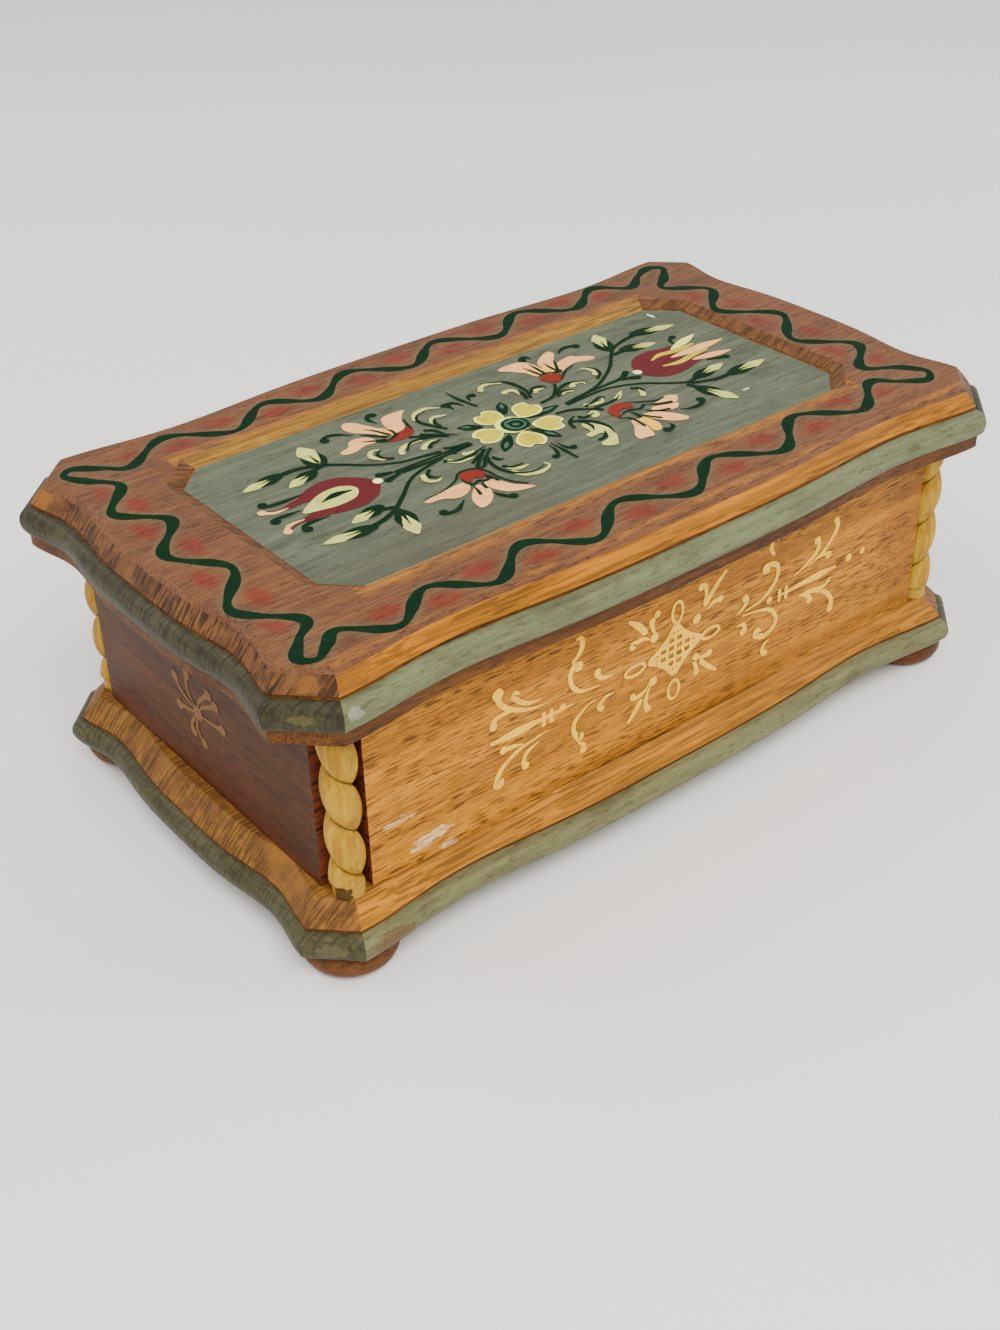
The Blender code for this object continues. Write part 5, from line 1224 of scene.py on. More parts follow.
def tulip_left(art: Artwork) -> None:
    """The crimson tulip of the left half, its stems and its five buds."""
    art.shape("crimson", 1, [(-58, 3), (-53.5, 5.2), (-50.5, 6.8), (-47, 7.5), (-43.5, 6.8), (-40.5, 4.5),
                             (-38.5, 2), (-37.8, -0.2), (-38.8, -2.5), (-41, -4.8), (-45, -6.2),
                             (-49.5, -5.8),
                             (-53, -4.8), (-57.5, -3.4), (-57, -2.4), (-53, -1.6), (-52, 0.6),
                             (-53.5, 2.4), (-57.5, 2.3)])
    art.shape("leaf", 2, [(-56.6, -0.9), (-52, 2.4), (-48, 3.6), (-44.6, 3), (-42.6, 0.5), (-44.6, -2.4),
                          (-49, -3.1), (-53, -2.3)])
    art.stroke("green", 3, [(-51.5, 0.1), (-47.5, 0.9), (-43.8, 0.3)], (0.2, 0.95, 0.3))
    art.dot("white", 3, (-37.8, -0.2), 1.1)
    art.stroke("peach", 2, [(-57.6, 2.8), (-60.6, 2.8), (-62.2, 3.8), (-63.4, 5.4)], (0.15, 0.5, 0.6),
               tail=1.0)
    art.stroke("peach", 2, [(-57.6, -3.2), (-60.4, -3.0), (-62.2, -3.8), (-63.1, -6.0)], (0.15, 0.5, 0.6),
               tail=1.0)
    art.stroke("crimson", 1, [(-55, 4.0), (-59.4, 3.4), (-62.4, 4.6), (-64.4, 5.0)], (0.7, 0.25, 0.1))
    art.stroke("crimson", 1, [(-55, -4.2), (-58.6, -3.6), (-61.4, -4.4), (-62.0, -6.0)], (0.7, 0.25, 0.1))
    for path in ([(-61.3, 8.2), (-60.6, 6.2), (-57.5, 5.6), (-52, 5.6)],
                 [(-62.8, -1.2), (-62.0, 0.6), (-59.5, 0.6), (-56, 0.4)],
                 [(-58.9, -7.8), (-59.4, -5.6), (-57.2, -4.9), (-53, -5.3)]):
        art.stroke("green", 2, path, (0.6, 0.6, 0.15), head=1.15)
    for path in ([(-37, 2), (-33, 0.9)], [(-36.8, -1.5), (-32, -0.25)]):
        art.stroke("green", 2, path, (0.9, 0.5), head=0.9)
    for path in ([(-33, 0.7), (-21.3, 0.6), (-13, 0.3)], [(-32, -0.4), (-22, -0.5), (-13, -0.2)],
                 [(-42, 13.0), (-38, 9.5), (-34.5, 6.3), (-29.5, 3.5), (-25, 2.5), (-20, 1.5)],
                 [(-41.2, -11.4), (-37, -8), (-33, -4.5), (-29, -2.5), (-21.5, -0.8)]):
        art.stroke("green", 1, path, (0.55, 0.42, 0.5))
    bud(art, (-42.5, 14.5), (-42, 23.0), 2.2)
    bud(art, (-53.0, 15.2), (-61.2, 14.3), 1.3)
    bud(art, (-46.5, 11.6), (-53.0, 9.6), 1.4)
    bud(art, (-44.5, -9.2), (-51.5, -10.6), 1.4)
    bud(art, (-50.5, -14.4), (-60.2, -13.4), 1.4)
    bud(art, (-41.9, -14.5), (-44.0, -22.4), 1.8)
    for path in ([(-53.5, 15.2), (-48, 15.2), (-43, 13.6)], [(-47.5, 11.8), (-43, 13)],
                 [(-45.5, -9.3), (-41, -11.2)], [(-51, -14.4), (-46, -13.6), (-41.6, -11.8)],
                 [(-41.9, -15), (-41.3, -11.5)]):
        art.stroke("green", 2, path, (0.7, 0.6), head=0.7)


def tulip_right(art: Artwork) -> None:
    """The crimson and gold tulip of the right half, its stems and its buds."""
    art.shape("crimson", 1,
              [(36.8, 1.6), (38.2, 5.2), (41, 7.8), (45, 8.6), (50, 7.6), (55.5, 6.6), (52, 4),
                             (48, 2.5), (52, 0.5), (57.5, -1.8), (51, -3.2), (46, -4.5), (41.5, -4.2),
               (38.4, -2)])
    art.stroke("lemon", 2, [(43.5, 4.2), (47, 5.2), (52, 4.4), (57.5, 4.6)], (0.3, 0.8, 0.8, 0.4))
    art.stroke("lemon", 2, [(43.5, 0.4), (48, -0.6), (53, 0.2), (58, 0.2)], (0.3, 0.8, 0.8, 0.4))
    art.petal("peach", 2, (48, 2.4), (64.5, 1.9), 1.4, 0.6)
    art.petal("cream", 2, (51, 5.4), (61.2, 8.2), 1.2, 0.55)
    art.petal("peach", 2, (51, -1.6), (61.6, -3.8), 1.2, 0.55)
    art.dot("white", 3, (36.8, 1.8), 1.1)
    art.stroke("green", 2, [(57.2, 10.8), (54.6, 9.6), (54.0, 7.4)], (0.6, 0.35), head=0.9)
    art.stroke("green", 2, [(59.2, -5.8), (56.5, -5.0), (53.5, -3.8)], (0.6, 0.3), head=0.9)
    for path in ([(35.6, 4.2), (33, 2.4), (31, 2)], [(36, -0.5), (33.5, 1.0), (31, 1.8)]):
        art.stroke("green", 2, path, (0.85, 0.5), head=0.8)
    for path in ([(14, 0.9), (20, 1.6), (26, 3.2), (31, 6), (35, 9), (39, 13), (42, 15.5), (48, 17.4)],
                 [(14, 0.6), (20, 1.7), (31.5, 2)],
                 [(14, 0.3), (24, 0.6), (29, -0.5), (34, -3), (38, -6.5), (43, -10)]):
        art.stroke("green", 1, path, (0.5, 0.42, 0.5))
    bud(art, (40.6, 16.6), (43.2, 23.8), 1.8)
    bud(art, (52.0, 17.6), (61.6, 15.4), 1.3)
    bud(art, (43.8, 12.8), (51.2, 10.8), 1.3)
    bud(art, (46.6, -8.6), (55.0, -7.6), 1.3)
    bud(art, (54.0, -12.6), (63.6, -12.5), 1.4)
    bud(art, (42.2, -14.2), (44.8, -22.6), 1.6)
    for path in ([(41, 17), (40, 14)], [(52.5, 17.6), (46, 17)], [(44.2, 12.8), (39, 12.6)],
                 [(47, -8.6), (42, -9.6)], [(54.5, -12.6), (48, -12.4), (42, -10)],
                 [(42.4, -14.6), (41, -9.8)]):
        art.stroke("green", 2, path, (0.65, 0.5), head=0.65)


@dataclass(frozen=True)
class Lily:
    """One small lily in mm: petals, rust-red throat, the dark lines between them and two curled stamens."""

    petals: tuple[tuple[str, list[Point]], ...]
    throat: list[Point]
    shades: tuple[list[Point], ...]
    rim: list[Point]
    curls: tuple[list[Point], ...]

    def paint(self, art: Artwork) -> None:
        """Lay the lily on the drawing."""
        for colour, outline in self.petals:
            art.shape(colour, 1, outline)
        art.shape("rust", 2, self.throat)
        for path in self.shades:
            art.stroke("green", 3, path, (0.12, 0.36, 0.42))
        art.stroke("green", 3, self.rim, (0.15, 0.3, 0.25))
        for path in self.curls:
            art.stroke("green", 2, path, (0.6, 0.55, 0.12), head=1.05)


def lilies(art: Artwork) -> None:
    """The four small lilies between the stems, and the stems that carry them."""
    flowers = (
        Lily(
            (
                ("peach", [(-27.8, 14.2), (-31.1, 14.2), (-34, 13.2), (-36.5, 13.8), (-36.5, 15.2),
                 (-34, 15.9), (-32.5, 17.8), (-30.1, 18.1), (-28.1, 16.6)]),
                ("peach", [(-23.8, 14.4), (-25.8, 16.8), (-27.6, 18.8), (-29.6, 21.1), (-30.1, 23.6),
                 (-28.8, 25.6), (-26.8, 24.8), (-25.4, 21.9), (-23.9, 18.9), (-22.6, 16.3)]),
                ("straw", [(-25.6, 15.8), (-25.8, 18.1), (-24.6, 19.6), (-22.8, 17.6), (-22.1, 15.6),
                 (-23.6, 14.3)]),
                ("peach", [(-22.8, 15.1), (-22.1, 19.9), (-20.1, 22.6), (-14.9, 22.4), (-16.4, 20.6),
                 (-18.1, 18.4), (-18.9, 16.1), (-20.8, 14.4)]),
            ),
            [(-27.1, 13.4), (-24.6, 12.9), (-22.1, 14.4), (-20.1, 14.9), (-18.4, 16.1), (-18.4, 13.8),
             (-19.8, 11.9), (-22.6, 11.2), (-25.1, 11.8)],
            (
                [(-28.9, 19.1), (-26.8, 16.6), (-24.6, 14.2)],
                [(-26.8, 20.6), (-25.3, 18.1), (-23.8, 14.4)],
                [(-23.1, 17.4), (-22.6, 15.8), (-22.8, 14.2)],
                [(-30.3, 16.1), (-27.8, 14.4), (-25.6, 13.4)],
                [(-28.1, 13.8), (-26.3, 12.9), (-24.1, 13.2), (-22.1, 14.4)],
            ),
            [(-17.4, 18.8), (-17.9, 17.1), (-18.4, 15.4), (-18.8, 13.7)],
            (
                [(-35.8, 20.6), (-36, 22.4), (-34, 23.1), (-32, 21.9), (-29.9, 19.6)],
                [(-20.6, 24.1), (-22.1, 25.1), (-23.3, 24.1), (-23.2, 22.3), (-22.6, 20.8)],
            ),
        ),
        Lily(
            (
                ("peach", [(-24.6, -12.3), (-28.1, -12.2), (-35.1, -13.1), (-35.3, -14.2), (-32, -14.8),
                 (-30.2, -16.2), (-27.8, -16.4), (-25.1, -14.8)]),
                ("peach", [(-23.4, -14.8), (-26.3, -16.9), (-28.1, -19.4), (-28.4, -22.6), (-25.6, -22.1),
                 (-23.1, -19.6), (-22.4, -17.2)]),
                ("peach", [(-22.1, -16.2), (-21.6, -18.9), (-19.6, -21.6), (-14.8, -23.1), (-15.7, -21.4),
                 (-17.6, -19.4), (-18.6, -16.9), (-19.4, -15.1), (-21.4, -14.9)]),
            ),
            [(-24.6, -11.9), (-24.1, -9.8), (-22.1, -8.8), (-19.6, -9.8), (-18.9, -12.2), (-20.6, -13.2),
             (-22.1, -12.2), (-23.6, -13.2)],
            (
                [(-24.3, -14.9), (-24.8, -16.9), (-25.4, -18.7)],
                [(-22.1, -14.7), (-22.6, -16.2), (-22.8, -17.4)],
                [(-24.8, -12.7), (-23.8, -14.2), (-22.1, -13.7), (-20.6, -14.7), (-19.1, -13.2)],
                [(-19.6, -12.2), (-19.1, -14.9), (-18.9, -16.6)],
                [(-24.3, -10.9), (-24.6, -12.9), (-23.6, -14.7)],
            ),
            [(-35.1, -12.7), (-30.1, -12.3), (-25.8, -10.6), (-23.3, -8.6), (-20.3, -8.8), (-18.4, -11.2),
             (-18.1, -14.9), (-17.1, -18.4), (-15.1, -21.4)],
            (
                [(-35.6, -18.1), (-34.8, -19.9), (-32.5, -20.1), (-30.6, -18.9), (-28.9, -17.6)],
                [(-19.6, -23.6), (-21.4, -22.6), (-22.4, -20.9), (-22.9, -18.9)],
            ),
        ),
        Lily(
            (
                ("peach", [(18.4, 15.6), (17.4, 18.6), (15.7, 21.1), (13.6, 23.3), (14.1, 24.4),
                 (17.4, 24.6), (20.4, 23.8), (21.6, 21.1), (21.7, 18.1), (20.4, 15.8)]),
                ("peach", [(23.2, 14.6), (22.2, 17.6), (22.7, 20.6), (25.4, 22.8), (28.7, 24.1),
                 (29.2, 22.3), (26.9, 19.8), (25.4, 17.6), (24.2, 15.6)]),
                ("peach", [(24.4, 13.8), (24.9, 16.1), (26.9, 18.1), (30.9, 18.8), (32, 17.6), (34.5, 15.8),
                 (35, 14.4), (33, 14.1), (29.9, 15.3), (26.9, 14.8)]),
                ("straw", [(20.6, 15.8), (20.9, 18.1), (22.2, 18.1), (23.4, 16.1), (23.4, 14.8),
                 (21.9, 14.4)]),
            ),
            [(17.9, 14.1), (19.9, 14.9), (22.4, 13.8), (23.2, 12.6), (21.7, 10.8), (19.9, 10.3),
             (18.4, 11.6)],
            (
                [(18.7, 21.1), (19.1, 18.1), (19.4, 15.6)], [(20.9, 21.8), (20.8, 18.6), (20.6, 15.6)],
                [(23.9, 19.6), (23.6, 17.1), (23.7, 14.3)], [(26.6, 19.6), (25.6, 17.6), (23.9, 14.6)],
                [(18.2, 15.1), (20.4, 15.6), (22.9, 14.4), (24.9, 14.3)],
            ),
            [(28.2, 14.3), (25.4, 13.6), (23.6, 12.3), (21.4, 10.7)],
            (
                [(21.6, 23.3), (21.4, 24.4), (22.1, 25.6), (23.2, 24.8), (23.1, 23.3)],
                [(36, 20.9), (35.5, 22.3), (33.5, 23.1), (31.4, 22.6), (29.7, 21.3)],
            ),
        ),
        Lily(
            (
                ("peach", [(19.4, -14.9), (17.9, -17.4), (15.4, -20.4), (15.3, -22.2), (17.2, -22.6),
                 (18.7, -22.9), (19.9, -20.4), (20.8, -17.9), (20.9, -15.2)]),
                ("straw", [(21.2, -15.4), (20.9, -18.4), (20.1, -21.2), (21.7, -21.9), (23.2, -19.9),
                 (23.2, -17.4), (22.7, -15.2)]),
                ("peach", [(23.2, -14.4), (23.9, -17.4), (25.9, -20.4), (28.4, -22.2), (30.1, -21.7),
                 (29.2, -18.9), (27.9, -16.9), (25.9, -14.9)]),
                ("peach", [(26.4, -13.9), (28.4, -16.2), (30.9, -16.9), (32.5, -16.2), (32.9, -15.1),
                 (30.4, -14.2), (27.9, -13.2)]),
                ("peach", [(27.9, -12.2), (30.9, -13.2), (33, -14.6), (35, -13.3), (35.5, -12.2),
                 (33.5, -10.9), (30.9, -11.7)]),
            ),
            [(18.2, -10.9), (18.4, -8.4), (20.9, -6.7), (23.4, -7), (24.9, -8.9), (23.9, -10.4),
             (21.9, -9.4), (19.9, -10.4), (18.9, -12.2)],
            (
                [(17.9, -12.2), (19.9, -13.7), (20.2, -16.2), (19.9, -18.9)],
                [(22.4, -13.4), (23.9, -16.2), (25.4, -18.4)],
                [(24.9, -12.9), (26.9, -15.2), (29.9, -16.4)],
                [(26.4, -10.9), (29.4, -12.9), (32.7, -14.2)],
                [(18.7, -11.9), (21.9, -10.9), (24.9, -11.9), (26.9, -10.9)],
                [(21.9, -11.4), (22.4, -13.2), (21.9, -15.4)],
            ),
            [(23.9, -7.3), (26.9, -9.4), (29.9, -11.2), (32.7, -11.3)],
            (
                [(37.5, -16.4), (37.9, -18.2), (35.5, -19.2), (33, -18.9), (31.2, -17.7)],
                [(21.4, -22.6), (23.2, -23.1), (24.7, -22.4), (24.6, -20.9)],
            ),
        ),
    )
    for flower in flowers:
        flower.paint(art)
    for path in (
            [(-21.6, 11.2), (-19.1, 9.6), (-14.6, 5.8)], [(-19.1, -9.4), (-16.6, -7), (-12.6, -3.5)],
            [(10.2, 4.7), (14.4, 5.5), (17.4, 8.1), (18.9, 10.2)],
        [(18.6, -7), (17.8, -5.7), (15.9, -4.2)]):
        art.stroke("green", 1, path, (0.5, 0.4))


def scrolls(art: Artwork) -> None:
    """Comma leaves and scrolls round the stems: a dark line with a pale stroke beside it."""
    dark = (
        [(-12.8, 8.6), (-14.6, 12.1), (-15.6, 15.6), (-14.1, 18.1), (-11.4, 18.6)],
        [(-13.3, 10.3), (-13.1, 13.1), (-11.7, 14.6)],
        [(-29.4, 5.5), (-31.1, 7), (-31.3, 9.1), (-29.4, 10.4)],
        [(-15.6, 7), (-19.6, 8.6), (-23.1, 8.6), (-25.6, 6)], [(-21.1, 4), (-19.6, 5.5), (-16.4, 5.7)],
        [(-19.1, 10.6), (-16.6, 8.3), (-12.6, 5)], [(-17.4, 11.6), (-15.7, 10.1), (-14.6, 7)],
        [(-19.1, 2.3), (-17.1, 1.1), (-13.1, 0.8)], [(-18.8, -1.4), (-17.1, -0.2), (-13.1, 0.1)],
        [(-22.6, -2.2), (-20.1, -4.2), (-16.1, -4), (-11.4, -2.7)],
        [(-26.8, -3.2), (-28.6, -5), (-28.1, -6.5), (-26.8, -7.2)],
        [(-11.3, -4.3), (-14.1, -6.5), (-15.6, -9.9), (-15.6, -13.4), (-14.1, -16.4), (-11.1, -18.2),
         (-7.5, -17.4)],
        [(-13.8, -7.5), (-13.2, -9.4), (-12.1, -9.9)], [(-14.6, -11.9), (-13.1, -13.9), (-10.1, -13.9)],
        [(-19.1, -9.9), (-17.1, -9.4), (-15.1, -7), (-13.1, -5.5)],
        [(-18.6, -7.2), (-16.6, -6), (-12.1, -4)],
        [(10.2, 8.1), (11.6, 11.1), (11.8, 14.6), (10.9, 18.1), (8.4, 19.8), (6.2, 21.1)],
        [(9.1, 8.1), (10.2, 10.6), (10.4, 13.1)], [(11.9, 9.9), (13.4, 11.4), (15.7, 11.1), (16.4, 9.8)],
        [(15.2, 4.5), (17.4, 7), (20.9, 8.2), (23.9, 7), (24.9, 5.5)],
        [(15.7, 5), (17.9, 5.8), (20.4, 4.5)],
        [(27.7, 5.5), (29.9, 7), (30.7, 9.6), (29.4, 11.8)],
        [(9.2, -1.4), (12.9, -2.2), (15.9, -4.2), (17.9, -6)],
        [(16.4, -3), (18.9, -2.9), (21.9, -1.7), (22.7, -3)],
        [(17.4, -5), (20.9, -5.2), (23.9, -5), (25.9, -4)], [(29.9, -3), (31.4, -4.2), (31.7, -6.5)],
        [(11.9, -5.5), (12.9, -7), (15.1, -6.8)], [(10.9, -7), (13.2, -9.9), (13.9, -13.4), (12.9, -16.9)],
        [(10.9, -8), (11.4, -10.9), (10.3, -12.9)], [(8, -16.9), (10.4, -16.4), (12.1, -14.4)],
        [(8, -9.4), (8.6, -7), (10.4, -5.5), (11.9, -5)], [(8.4, -6.5), (10.2, -7), (12.4, -9.2)])
    for path in dark:
        art.stroke("green", 3, path, (0.3, 0.46, 0.14), head=0.5)
    pale = (
        [(-15.8, 16.1), (-14.3, 18.8), (-10.8, 19.6), (-8, 17.8)],
        [(-13.8, 12.8), (-12.1, 14.9), (-8.9, 14.1)],
        [(-30.9, 6.3), (-32.8, 9.1), (-31.4, 11.1), (-29.4, 10.7)],
        [(-27.1, 5.5), (-26.1, 7.5), (-23.6, 8.6), (-20.1, 8.1)],
        [(-22.6, 4.3), (-21.3, 5.7), (-19.1, 6.3), (-16.9, 5.5)],
        [(-21.9, -2.5), (-20.6, -4.3), (-18.9, -4.8), (-16.4, -5.2)],
        [(-17.6, -2.2), (-16.6, -3), (-14.6, -3)],
        [(-29.1, -4), (-30.1, -6.5), (-28.6, -8.1), (-26.9, -7.7)],
        [(-14.7, -14.7), (-13.2, -17.9), (-10.1, -19.2), (-7, -18.4), (-7, -16.4)],
        [(-14.1, -12.9), (-12.6, -14.9), (-9.9, -15.2)],
        [(3.7, 17.8), (5, 19.6), (7.5, 19.9), (10.1, 18.1)],
        [(6.7, 13.6), (8.2, 14.3), (9.7, 13.4), (9.4, 11.1)], [(12.2, 9.4), (13.7, 10.3), (15.3, 9.7)],
        [(20.4, 6), (22.4, 7.3), (24.2, 6.5), (23.9, 5.3)], [(16.2, 4.8), (17.9, 5.5), (19.9, 4.3)],
        [(28.7, 7), (29.9, 9.1), (29.2, 11.4), (28.1, 11.6)],
        [(16.4, -2.5), (18.9, -3.5), (20.9, -3.8), (21.9, -2.5)],
        [(23.9, -5.2), (25.9, -3.9), (27.6, -2.7)],
        [(29.2, -7.5), (30.4, -7), (30.9, -4.8)], [(14.2, -8), (15.9, -7.7), (16.1, -6.2), (14.4, -6.5)])
    for path in pale:
        art.stroke("leaf", 2, path, (0.62, 0.62, 0.2), head=0.75)
    art.shape("leaf", 2, [(9.7, -9.9), (10.6, -8.7), (12.1, -10.1), (13.4, -12.9), (13.2, -16.4),
                       (11.4, -19.4), (9.7, -20.9), (7.5, -19.4), (7.8, -18.1), (10.1, -17.6),
                       (11.3, -16.2), (10.8, -14.7), (8, -14.7), (7.8, -13.2), (9.6, -12.7)])


def rosette(art: Artwork) -> None:
    """The five-petalled flower in the middle, with a ringed eye, leaves between petals and two sprays."""
    middle = Vector((-0.8, 0.3))
    for tip, base in (
            ((-11.1, 7.7), (-6.5, 4.3)),
            ((3.7, 11.1), (0.7, 5.7)),
            ((-10.1, -7.5), (-4.5, -2.2)),
            ((3.5, -10.3), (0.6, -3)),
            ((12.6, 1.4), (3.5, 1.1))):
        art.petal("green", 1, base, tip, 1.35, 0.6)
        inner = Vector(base).lerp(Vector(tip), 0.45)
        point = Vector(base).lerp(Vector(tip), 0.85)
        art.petal("sage", 2, (inner.x, inner.y), (point.x, point.y), 0.5, 0.5)
    for path in (
            [(-2.5, 23.1), (-2.3, 18.1), (-1.3, 12.7)], [(-0.5, -10.9), (-0.3, -14.9), (-0.3, -19.8)]):
        art.stroke("green", 2, path, (0.12, 0.42, 0.3))
    for path in (
            [(-6.5, 17.4), (-5, 18.1), (-3.8, 16.6), (-3.5, 14.7)], [(2, 17.4), (0.2, 18.1), (-0.9, 15.8)],
            [(-4.3, -16.1), (-2.8, -16.1), (-1.6, -14.1), (-1.3, -11.4)],
            [(3, -15.8), (1.1, -14.9), (0.5, -11.9)], [(-7, 18.8), (-6.2, 16.6), (-6.2, 14.8)]):
        art.stroke("green", 2, path, (0.5, 0.42, 0.12), head=0.85)
    for centre in ((-8.3, 0.3), (-3, 6.5), (5.7, 4.3), (5.5, -4), (-2.5, -7)):
        spot = Vector(centre)
        out = (spot - middle).normalized()
        across = Vector((-out.y, out.x))
        for colour, layer, size in (("cream", 2, 1.0), ("lemon", 3, 0.8)):
            tip = spot + out * 3.1 * size
            outline = [spot - out * 3.6 * size - across * 0.9, spot - across * 3.2 * size - out * 0.8,
                       spot - across * 3.2 * size + out * 1.5 * size, tip - across * 1.6 * size,
                       tip - out * 0.8 * size, tip + across * 1.6 * size,
                       spot + across * 3.2 * size + out * 1.5 * size,
                       spot + across * 3.2 * size - out * 0.8,
                       spot - out * 3.6 * size + across * 0.9]
            art.shape(colour, layer, [(p.x, p.y) for p in outline])
    for colour, layer, radius, shift in (("cream", 4, 3.9, -0.6), ("green", 5, 3.3, 0.0),
                                         ("sage", 6, 2.5, 0.0),
                                         ("green", 7, 1.7, 0.2), ("sage", 8, 0.95, 0.1)):
        art.dot(colour, layer, (middle.x + shift, middle.y - shift * 0.6), radius)
    art.stroke("green", 9, [(middle.x - 1.6, middle.y + 1.2), (middle.x + 0.4, middle.y + 0.3),
                            (middle.x + 1.4, middle.y - 1.5)], (0.2, 0.35, 0.15))


@dataclass
class Base:
    """The moulded base board, its top and the four turned feet."""

    board: MouldedBoard = field(default_factory=lambda: MouldedBoard(92.8, 53.2, 7.6))
    bottom: float = 6.0
    bead_height: float = 6.1
    bead_nose: float = 2.6
    foot_lip: float = 0.5
    step: float = 0.6
    slope_width: float = 4.2
    top: float = 17.0
    foot_x: float = 82.5
    foot_y: float = 44.2
    foot_profile: tuple[Point, ...] = (
        (0.0, 0.0), (6.9, 0.0), (7.4, 0.15), (8.5, 0.7), (9.4, 1.5), (9.9, 2.5), (10.0, 3.3), (9.8, 4.2),
        (9.3, 5.0),
        (8.6, 5.7), (8.4, 5.98), (0.0, 5.98))

    def build(self, looks: Finishes) -> None:
        """Build the board."""
        shell = Shell()
        ends = [crosses_grain(side) for side, _ in self.board.marks()]
        bead_top = self.bottom + self.bead_height
        profile = [(self.foot_lip, self.bottom, Edge.BEAD)]
        profile += [(r, z, Edge.BEAD) for r, z in
                    self.board.bead(self.bottom, self.bead_height, self.bead_nose, self.foot_lip)]
        # The step between bead and slope, and the slope's first row, are in the dark lip colour: painted shade in
        # that crease.
        profile.append((-0.1, bead_top + self.step * 0.5, Edge.LIP))
        for i in range(6):
            share = i / 5
            rise = bead_top + self.step + (self.top - bead_top - self.step) * share
            profile.append((-self.slope_width * share, rise + 0.25 * math.sin(math.pi * share),
                            Edge.SLOPE if i else Edge.LIP))
        rings = [shell.ring([(p.x, p.y, z) for p in self.board.outline(r)]) for r, z, _ in profile]
        for k in range(len(rings) - 1):
            kind = profile[k + 1][2]
            across, along = {Edge.SLOPE: (Edge.SAWN_SLOPE, Edge.SLOPE),
                             Edge.BEAD: (Edge.BEAD_END, Edge.BEAD)}.get(
                kind, (kind, kind))
            shell.band(rings[k], rings[k + 1], [across.value if e else along.value for e in ends])
        shell.cap(rings[-1], Edge.SAWN_SLOPE.value)
        shell.cap(list(reversed(rings[0])), Edge.BEAD.value)
        names = ("lip", "base_bead", "base_slope", "base_sawn", "base_bead_end")
        piece = shell.build("base_board_moulded", [looks[n] for n in names], 30.0)
        dress(piece, "box", "base_wood", "base_board")

    def feet(self, looks: Finishes, names: dict[tuple[int, int], str]) -> None:
        """Turn the four feet, each standing for its CAD node."""
        for (sx, sy), name in names.items():
            shell = Shell()
            rings = []
            for radius, height in self.foot_profile[1:-1]:
                rings.append(shell.ring([(sx * self.foot_x + radius * math.cos(k * math.tau / 56),
                                          sy * self.foot_y + radius * math.sin(k * math.tau / 56), height)
                                         for k in range(56)]))
            for lower, upper in zip(rings, rings[1:]):
                shell.band(lower, upper, 0)
            shell.cap(rings[-1], 0)
            shell.cap(list(reversed(rings[0])), 0)
            dress(shell.build(f"{name}_turned", [looks["foot"]], 40.0), "box", "foot_wood", name)


